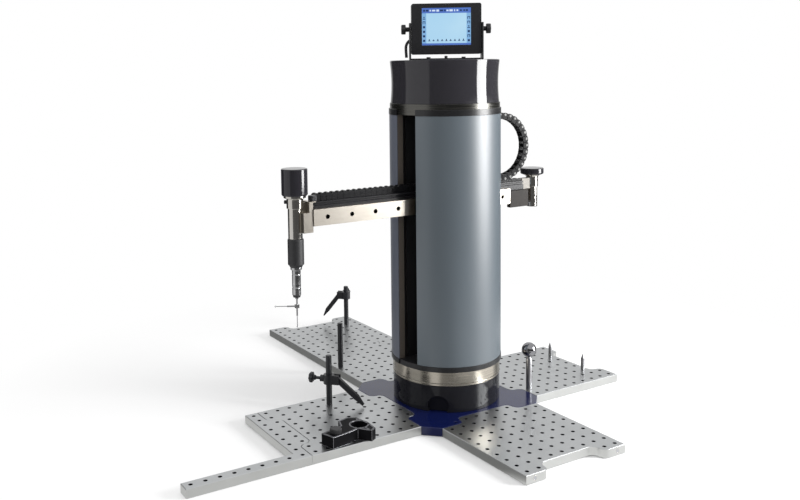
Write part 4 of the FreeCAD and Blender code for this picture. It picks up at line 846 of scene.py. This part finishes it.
def headShell():
    # the side's radius dips by the waist times 4*t*(1 - t) on its way up; shoulder and hollow follow
    low, high = box("head_cover")
    z0, z1, shoulder = low[2], high[2], high[0]
    foot = shoulder - 0.6
    t = np.linspace(0, 1, 17)
    radii = foot + (shoulder - foot) * t - column["headWaist"] * (4 * t * (1 - t))
    side = np.c_[radii, z0 + (z1 - z0 - column["headRound"]) * t]
    inner = shoulder - 6
    top = [(shoulder, z1), (0, z1), (0, z1 - 3), (inner - 6, z1 - 3), (inner, z1 - 9), (inner, z0)]
    rounding = [0.4] + [0.0] * (len(side) - 1) + [column["headRound"]] + [0.5] * 5
    turned("headShell", "column", headLacquer, side.tolist() + top, nodes=("head_cover",), radius=rounding,
           segments=192, steps=5)


def slotGuideLines():
    # two bright lines up the inner sheet: distance from the middle, half the width, how far they stand out
    low, high = box("inner_sheet")
    away, half, rise = guideLine["away"], guideLine["half"], guideLine["rise"]
    lines = [blockArrays((high[0] + rise[0], side * away - half, low[2]),
                         (high[0] + rise[1], side * away + half, high[2] - 1)) for side in (-1, 1)]
    newPiece("slotGuideLines", *joined(lines), "column", stripAluminium)


skinShell("rightSkin", "right_skin", skinPaint)
skinShell("leftSkin", "left_skin", litSkinPaintLeft)
skinTrims()
headShell()
for node, material, bevelMm in (("top_flange", flangeSteel, 0.7), ("turntable_hub", innerBlackAndShade, 0.0),
                                ("slot_edge_strips", stripGrey, 0.4), ("inner_sheet", innerBlackAndShade, 0.0)):
    dressed(node, material, bevelMm)
slotGuideLines()
for node, material, bevelMm in (("spine", innerBlackAndShade, 0.4), ("guide_rails", darkSteel, 0.3),
                                ("spindle", darkSteel, 0.0), ("main_bearings", darkSteel, 0.0),
                                ("angle_ring", machinedAluminium, 0.0), ("joining_pins", darkSteel, 0.0),
                                ("counterweight", castGrey, 1.0), ("balance_pulley", machinedAluminium, 0.4),
                                ("balance_tape", darkSteel, 0.0), ("carriage_plate", innerBlackAndShade, 0.5),
                                ("lift_runners", darkSteel, 0.4), ("arm_runners", darkSteel, 0.4)):
    dressed(node, material, bevelMm)
print("column made")


# Knobs: their lobes or knurls as a count and a depth in parts of the radius. The display's knobs start
# outside half the case, a gap, the yoke and a gap
knobs = {"lobes": (6, 0.14), "knurls": (36, 0.05), "fineKnurls": (24, 0.06),
         "displayStack": (67.3, 1, 3, 0.3)}


def gripLobes(count, depth, inner):
    # radius times 1 - depth*(1 - cos(count*a))/2 outside the inner radius: rounded lobes or knurls
    def radii(p, a):
        grown = (p[:, 0] > inner * mm)[:, None]
        return 1 - grown * depth * (0.5 - 0.5 * np.cos(count * a))[None]
    return radii


def axisOf(joint):
    # where a joint is in mm, and the direction of its axis
    found = [j for j in frame["joints"] if j["name"] == joint][0]
    return np.array(found["pos_m"]) / mm, np.array(found["axis"], float)


def lobedKnob(node, material, joint, profile, grip, inner=6, segments=96, radius=0.7):
    # a knob whose profile starts at the joint's place and runs along its axis
    place, axis = axisOf(joint)
    turned(node + "Grip", bodyOf(node), material, profile, place, axis, nodes=(node,), radius=radius,
           segments=segments, lobes=gripLobes(*knobs[grip], inner), smoothAngle=40)


# The clamp block's corners round its bore, in mm, and the pale ridges between its dark pockets
block = {"place": (82, -254), "bore": 15.0, "ridge": 2.2, "proud": 0.1, "sunk": -0.2, "margin": 1.2,
         "barTo": (1, 4, 5),
         "corners": ((-38, -4), (-30, 11), (4, 18), (30, 16), (37, 4), (16, -12), (22, -32), (27, -68),
                     (-1, -76), (-5, -58), (-12, -32), (-32, -25))}


def blockRelief():
    # a border inside the outline, a ring round the bore and bars from the ring to some of the corners; a
    # corner moves inwards by inset*lean, with lean the sum of its sides' normals over 1 plus their product
    top = box("clamp_block")[1][2]
    places = np.array(block["corners"], float)
    x, y = block["place"]
    along = np.roll(places, -1, 0) - places
    along /= np.linalg.norm(along, axis=1)[:, None]
    inward = np.c_[along[:, 1], -along[:, 0]]
    lean = inward + np.roll(inward, 1, 0)
    lean /= (1 + (inward * np.roll(inward, 1, 0)).sum(1))[:, None]
    low, high, ridge, first = block["sunk"], block["proud"], block["ridge"], block["margin"]
    rings = [np.c_[places + lean * inset + (x, y), np.full(len(places), top + rise)]
             for inset, rise in ((first, low), (first, high), (first + ridge, high), (first + ridge, low))]
    border = np.concatenate(rings) * mm
    reach = block["bore"] + 1.0
    band = [(reach, low), (reach + ridge, low), (reach + ridge, high), (reach, high)]
    parts = [(border, outward(border, gridFaces(4, len(places), True, True))),
             turnedShape(band, (x, y, top), radius=0.02, segments=64)]
    for corner in places[list(block["barTo"])]:
        length = np.linalg.norm(corner)
        w = corner / length
        parts.append(blockArrays((reach + 1, -ridge / 2, low), (length - 3, ridge / 2, high),
                                 ((w[0], w[1], 0), (-w[1], w[0], 0), (0, 0, 1)), (x, y, top)))
    newPiece("blockRidges", *joined(parts), "base", ridgeGrey)


# Arm, posts, clamps and display case. In mm: the height over the rear block's foot from which it is blasted
# grey, and the height of the polished ball on the reference sphere's post
split = {"blasted": 34, "ball": 20}

dressed("arm_beam", beamBlack, 0.6)
# the rail's counterbore walls and floors are painted dark as the shade inside them
paintHoles(dressed("arm_rail", railSteel, 0.35), holeShade, box("arm_rail")[1][0])
dressed("end_bracket", bracketSteel, 0.5)
paintAbove(dressed("rear_block", rearBlack, 0.8), rearGrey,
           box("rear_block")[0][2] + split["blasted"])
dressed("posts", fittingBlack, 0.3)
# the clamp block's rounded edges take the pale painted highlight
dressed("clamp_block", blockBlack, 0.9, blockEdgeHighlight)
blockRelief()
for node in ("front_clamp", "left_clamp", "front_pointer", "left_pointer"):
    dressed(node, fittingBlack, 0.5)
dressed("display_yoke", plasticBlack, 0.5)
dressed("display_case", caseBlack, 0.8)
paintAbove(dressed("reference_sphere", pinSteel, 0.3), chromeBall,
           box("reference_sphere")[1][2] - split["ball"])
dressed("cone_pins", pinSteel, 0.2)
dressed("stylus", probeSteel, 0.1)

start = sum(knobs["displayStack"])
neck = start + 6
for side in ("left", "right"):
    lobedKnob("display_knob_" + side, rubberBlack, "display_knob_" + side + "_turn",
              [(0, start - 14), (3, start - 14), (3, start), (4.5, start), (4.5, neck), (10.3, neck + 0.6),
               (10.3, neck + 8.2), (8.4, neck + 9), (0, neck + 9)], "lobes")
for side in ("front", "left"):
    lobedKnob(side + "_thumb_knob", fittingBlack, side + "_knob_turn",
              [(0, 6.1), (3, 6.1), (3, 26), (5, 28), (5, 32), (10.4, 33), (10.4, 38.5), (8.5, 40), (0, 40)],
              "lobes")
foot = box("block_knob")[0][2] - 40
lobedKnob("block_knob", plasticBlack, "block_knob_turn",
          [(0, foot), (3, foot), (3, -3.7), (10.4, -3.7), (10.4, 4), (9, 5), (0, 5)], "knurls", segments=288)
foot, top = (corner[2] - axisOf("bracket_knob_turn")[0][2] for corner in box("bracket_knob"))
lobedKnob("bracket_knob", fittingBlack, "bracket_knob_turn",
          [(0, foot), (2.5, foot), (2.5, top - 10), (7.7, top - 10), (7.7, top - 0.9), (6.6, top), (0, top)],
          "fineKnurls", 4, 192, 0.5)


def middleOf(node):
    # the middle of a node's box seen from above, at height 0
    low, high = box(node)
    return ((low[0] + high[0]) / 2, (low[1] + high[1]) / 2, 0)


def armTurned(name, node, material, profile, radius=0.6):
    # an upright turned piece whose profile holds real heights, in place of its node
    turned(name, bodyOf(node), material, profile, middleOf(node), nodes=(node,), radius=radius, segments=128)


# Probe head and rear holder in mm: radii, the length of the grip's bare end and of the rear tube's foot, and
# the side that the tube's clamping screw is on
probe = {"bore": 6.05, "tube": 13, "collar": 15, "flange": 20, "cap": 23.5, "grip": 14.6, "stub": 30.3,
         "body": 7.9, "screwSide": (-0.55, -0.835, 0)}
rear = {"tube": 11, "foot": 42.7, "cap": 24}


def probeHead():
    # lock tube under its cap, grip sleeve, probe with its grooves, and the screw that clamps the tube
    (_, _, low), (_, _, top) = box("probe_tube")
    bore, tube, collar, flange = (probe[k] for k in ("bore", "tube", "collar", "flange"))
    step, shoulder = top - 23, top - 6
    armTurned("probeTube", "probe_tube", tubeSteel,
              [(bore, low), (tube, low), (tube, step), (collar, step), (collar, shoulder),
               (flange, shoulder + 2), (flange, top), (0, top), (0, low + 32), (bore, low + 32)], 0.5)
    (_, _, low), (_, _, high) = box("head_cap")
    r = probe["cap"]
    armTurned("headCap", "head_cap", capLacquer,
              [(0, low), (r - 0.9, low), (r - 0.9, low + 1.2), (r, low + 1.8), (r, high - 1.2),
               (r - 1.2, high), (0, high)], 0.8)
    (_, _, low), (_, _, high) = box("probe_grip")
    r, sleeve = probe["grip"], high - probe["stub"]
    armTurned("probeGrip", "probe_grip", gripBlack,
              [(0, low), (r - 3.6, low), (r - 2.4, low + 3), (r, low + 5), (r, sleeve - 1.4),
               (r - 1.2, sleeve), (6, sleeve), (6, high), (0, high)], 0.8)
    (_, _, low), (_, _, high) = box("probe_body")
    r = probe["body"]
    armTurned("probeBody", "probe_body", probeSteel,
              [(0, low + 5.2), (r, low + 5.2), (r, low + 17), (r - 0.6, low + 17.6), (r - 0.6, low + 18.8),
               (r, low + 19.4), (r, high - 14), (r - 0.5, high - 13.4), (r - 0.5, high - 12.4),
               (r, high - 11.8), (r, high - 6.2), (r + 2.4, high - 4), (r + 2.4, high), (0, high)], 0.3)
    turned("probeRing", "probe", gripBlack,
           [(0, low), (r - 1.6, low), (r - 0.7, low + 4), (r, low + 4.4), (r, low + 5.1), (0, low + 5.1)],
           middleOf("probe_body"), radius=0.4)
    x, y, _ = middleOf("probe_tube")
    turned("tubeLockScrew", "arm", fittingBlack,
           [(0, 14.6), (3.4, 14.6), (3.4, 18.5), (2.7, 19.3), (0, 19.3)],
           (x, y, top - 12), probe["screwSide"], radius=0.4, segments=48)


def rearHolder():
    # flared tube and flat cap at the arm's rear end
    (_, _, low), (_, _, high) = box("rear_tube")
    r, step = rear["tube"], low + rear["foot"]
    armTurned("rearTube", "rear_tube", tubeSteel,
              [(0, low), (r, low), (r, step), (r + 1.5, step), (r + 1.5, high - 4), (r + 6, high),
               (0, high)], 0.4)
    (_, _, low), (_, _, high) = box("rear_cap")
    r = rear["cap"]
    armTurned("rearCap", "rear_cap", capLacquer,
              [(0, low), (r - 5, low), (r - 0.6, low + 2), (r, low + 3.4), (r, high - 1.2), (r - 1.2, high),
               (0, high)], 0.8)


probeHead()
rearHolder()

# Cable chains in mm: side plates with a round hump, cross bars over and under, a hinge pin on each link. The
# arm's chain lies down flat behind armEnd
chains = {"armPitch": 11.6, "armEnd": 60.0, "tail": 4.0, "liftPitch": 12.6, "liftThick": 13.0, "plate": 2.0,
          "bar": 5.0, "sideGap": 0.4, "liftPin": 2.6}


def chainLink(length, high, wide, pinAt=0.46, pinRadius=2.0, hump=0.2):
    # one link along +x, y across its width, z from 0 to high; its back rises by hump*sin(v) over an arc of v
    plate, bar = chains["plate"], chains["bar"]
    t = np.linspace(0, math.pi, 7)
    back = [(length * (0.5 - 0.54 * math.cos(v)), high * (1 - hump + hump * math.sin(v))) for v in t]
    foot = [(length * 1.04, high * 0.08), (length * 0.9, 0), (length * 0.1, 0), (length * -0.04, high * 0.08)]
    axes = ((1, 0, 0), (0, 0, 1), (0, 1, 0))
    parts = [prismArrays(back + foot, 0, plate, axes), prismArrays(back + foot, wide - plate, wide, axes)]
    first = length * 0.22
    for low, top in ((high * 0.86, high * 0.97), (high * 0.03, high * 0.14)):
        parts.append(blockArrays((first, plate * 0.5, low), (first + bar, wide - plate * 0.5, top)))
    ring = np.arange(10) / 10 * tau
    pin = np.c_[length * 0.5 + pinRadius * np.cos(ring), high * pinAt + pinRadius * np.sin(ring)]
    parts.append(prismArrays(pin, -0.35, wide + 0.35, axes))
    return joined(parts)


def alongPath(link, places):
    # the same link set down at each (origin, (forward, across, up)) of a path
    points, faces = link
    return joined([(points @ np.array(axes) + np.array(origin) * mm, faces) for origin, axes in places])


def armChain():
    # full links on the front run, flat ones where the chain lies down behind the column, each run over a core
    low, high = box("arm_chain")
    gap, core = chains["sideGap"], 2.6
    axes = ((0, 1, 0), (1, 0, 0), (0, 0, 1))
    parts = []
    for start, end, tall in ((low[1], chains["armEnd"], high[2] - low[2]),
                             (chains["armEnd"], high[1], chains["tail"])):
        count = int((end - start) / chains["armPitch"])
        pitch = (end - start - 1.0) / count
        link = chainLink(pitch, tall, high[0] - low[0] - 2 * gap, hump=0.36)
        places = [((low[0] + gap, start + 0.5 + pitch * n, low[2]), axes) for n in range(count)]
        points, faces = alongPath(link, places)
        parts += [(points, outward(points, faces)),
                  blockArrays((low[0] + core, start + 0.5, low[2] + tall * 0.07),
                              (high[0] - core, end - 0.5, low[2] + tall * 0.75))]
    newPiece("armChainLinks", *joined(parts), "arm", chainBlack, ("arm_chain",), 30)


def liftChain():
    # straight run, half turn outwards, straight run back: the walk is by length along the middle line
    low, high = box("lift_chain")
    thick, gap = chains["liftThick"], chains["sideGap"]
    radius = (high[2] - low[2]) / 2 - thick / 2
    straightRun = high[1] - (radius + thick / 2) - low[1]
    total = 2 * straightRun + math.pi * radius
    count = int(total / chains["liftPitch"])
    pitch = total / count
    link = chainLink(pitch * 0.98, thick, high[0] - low[0] - 2 * gap, 0.7, chains["liftPin"])
    places = []
    for n in range(count):
        way = pitch * n
        turn = np.clip((way - straightRun) / radius, 0, math.pi)
        if way < straightRun:
            y, z = low[1] + way, low[2] + thick / 2
        elif turn < math.pi:
            y = low[1] + straightRun + radius * math.sin(turn)
            z = low[2] + thick / 2 + radius * (1 - math.cos(turn))
        else:
            y, z = low[1] + straightRun - (way - straightRun - math.pi * radius), high[2] - thick / 2
        turn = min(turn + pitch / radius / 2 * (0 < turn < math.pi), math.pi)
        ahead = np.array([0, math.cos(turn), math.sin(turn)])
        up = np.array([0, -math.sin(turn), math.cos(turn)])
        places.append((np.array([low[0] + gap, y, z]) + up * thick / 2, (ahead, (1, 0, 0), -up)))
    points, faces = alongPath(link, places)
    piece = newPiece("liftChainLinks", points, outward(points, faces), None, liftShadeBlack, ("lift_chain",), 30)
    # painted highlight: pale grey on each link's pin (the last twelve faces), outer bar and the sides of its
    # hump
    highlighted = np.zeros(len(link[1]), int)
    highlighted[-12:] = highlighted[26:32] = highlighted[2:8] = highlighted[15:21] = 1
    paintFaces(piece, np.tile(highlighted, count), linkHighlight)
    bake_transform(piece, "carriage", "column", (0, 0, (low[2] + 3) * mm), (0, 0, (high[2] - 3) * mm))


armChain()
liftChain()
print("arm and chains made")

# Display: lit screen with plain generic marks. Bands and rows are in parts of the screen's height or width,
# the rest in mm: the glass's width and distance from the tilt axis, how far bands and marks stand out, and
# a mark's thickness and half its size. A pair such as bottomTall is the least size and what a random draw
# adds; headerRun is where the header's marks start, where the last one may start and where it ends
screen = {"wide": 94.5, "front": 12.1, "header": 0.14, "footer": 0.05, "side": 0.09, "band": 0.05,
          "mark": 0.12, "thin": 0.1, "icon": 2.6, "sideRows": 6, "firstRow": 0.12, "rowStep": 0.122,
          "columns": (0.045, 0.955), "bottomMarks": 9, "bottomAt": 0.125, "bottomFirst": 0.15,
          "bottomStep": 0.087, "bottomTall": (0.6, 0.5), "headerRun": (0.03, 0.93, 0.97),
          "headerLong": (0.02, 0.05), "headerHigh": (0.035, 0.02), "headerGap": (0.012, 0.02),
          "palePart": 0.6}


def displayAxes():
    # a point on the tilt axis, the direction along it and the one out of the screen
    place, axis = axisOf("display_tilt")
    right = axis / np.linalg.norm(axis)
    return place, right, np.cross(right, [0, 0, 1])


def screenPieces():
    place, right, outwards = displayAxes()
    low, high = box("display_screen")
    wide, tall = screen["wide"], high[2] - low[2]
    centreZ = (low[2] + high[2]) / 2 - place[2]
    axes = (right, (0, 0, 1), outwards)

    def plate(x0, y0, x1, y1, rise, back=0.3):
        # x and y run from 0 to 1 over the screen, rise is in mm before its glass
        corners = ((x0, y0), (x1, y0), (x1, y1), (x0, y1))
        outline = [(wide * (x - 0.5), tall * (y - 0.5) + centreZ) for x, y in corners]
        return prismArrays(outline, screen["front"] + rise - back, screen["front"] + rise, axes, place)

    def mark(x0, y0, x1, y1):
        return plate(x0, y0, x1, y1, screen["mark"], screen["thin"])

    def drawn(pair):
        return pair[0] + pair[1] * rng.random()

    foot, head, band = screen["footer"], 1 - screen["header"], screen["band"]
    newPiece("screenGlass", *plate(0, 0, 1, 1, 0, 1.5), "display", screenField, ("display_screen",))
    newPiece("screenHeader", *plate(0, head, 1, 1, band), "display", screenHeader)
    newPiece("screenFooter", *plate(0, 0, 1, foot, band), "display", screenHeader)
    sides = [plate(0, foot, screen["side"], head, band), plate(1 - screen["side"], foot, 1, head, band)]
    newPiece("screenSideBars", *joined(sides), "display", screenSide)
    rng = np.random.default_rng(4)
    dark, pale = [], []
    u, v = screen["icon"] / wide, screen["icon"] / tall
    for row in range(screen["sideRows"]):
        y = screen["firstRow"] + screen["rowStep"] * row
        for x in screen["columns"]:
            kind = rng.integers(3)
            if kind == 0:
                dark += [mark(x - u, y - v, x + u, y - v * 0.4), mark(x - u * 0.4, y, x + u * 0.4, y + v)]
            elif kind == 1:
                dark += [mark(x - u, y - v, x - u * 0.5, y + v), mark(x + u * 0.5, y - v, x + u, y + v),
                         mark(x - u * 0.5, y + v * 0.5, x + u * 0.5, y + v)]
            else:
                dark.append(mark(x - u * 0.8, y - v * 0.8, x + u * 0.8, y + v * 0.8))
    for n in range(screen["bottomMarks"]):
        x, y = screen["bottomFirst"] + screen["bottomStep"] * n, screen["bottomAt"]
        tallness = drawn(screen["bottomTall"])
        bottom = y - v * 0.5 * tallness
        dark += [mark(x - u * 0.9, bottom, x + u * 0.9, bottom + v * 0.35),
                 mark(x - u * 0.35, y - v * 0.5, x + u * 0.35, y + v * tallness)]
    at, lastStart, end = screen["headerRun"]
    y = 1 - screen["header"] / 2
    while at < lastStart:
        length, height = drawn(screen["headerLong"]), drawn(screen["headerHigh"])
        target = pale if rng.random() < screen["palePart"] else dark
        target.append(mark(at, y - height / 2, min(at + length, end), y + height / 2))
        at += length + drawn(screen["headerGap"])
    newPiece("screenIcons", *joined(dark), "display", screenInk)
    newPiece("screenHeaderMarks", *joined(pale), "display", screenPale)


# Short cable from the head's top into the display's back: its route in mm to the right, outwards and up from
# the tilt axis
cable = {"radius": 2.8, "length": 51.5,
         "route": ((-76, -20, -54), (-77, -21, -42), (-77, -22, -29), (-69, -21, -19), (-56, -15, -14))}


def displayCable():
    # a NURBS curve of the cable's real length with a round section
    place, right, outwards = displayAxes()
    route = (np.array(cable["route"], float) @ np.array([right, outwards, (0, 0, 1)]) + place) * mm
    curve = bpy.data.curves.new("displayCable", "CURVE")
    curve.dimensions = "3D"
    curve.bevel_depth = cable["radius"] * mm
    curve.bevel_resolution = 5
    curve.use_fill_caps = True
    curve.materials.append(rubberBlack)
    spline = curve.splines.new("NURBS")
    spline.points.add(len(route) - 1)
    spline.points.foreach_set("co", np.c_[route, np.ones(len(route))].ravel())
    spline.order_u = 3
    spline.use_endpoint_u = True
    spline.resolution_u = 12
    piece = newObject("displayCable", curve)
    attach(piece, "yoke")


screenPieces()
displayCable()
print("display made")
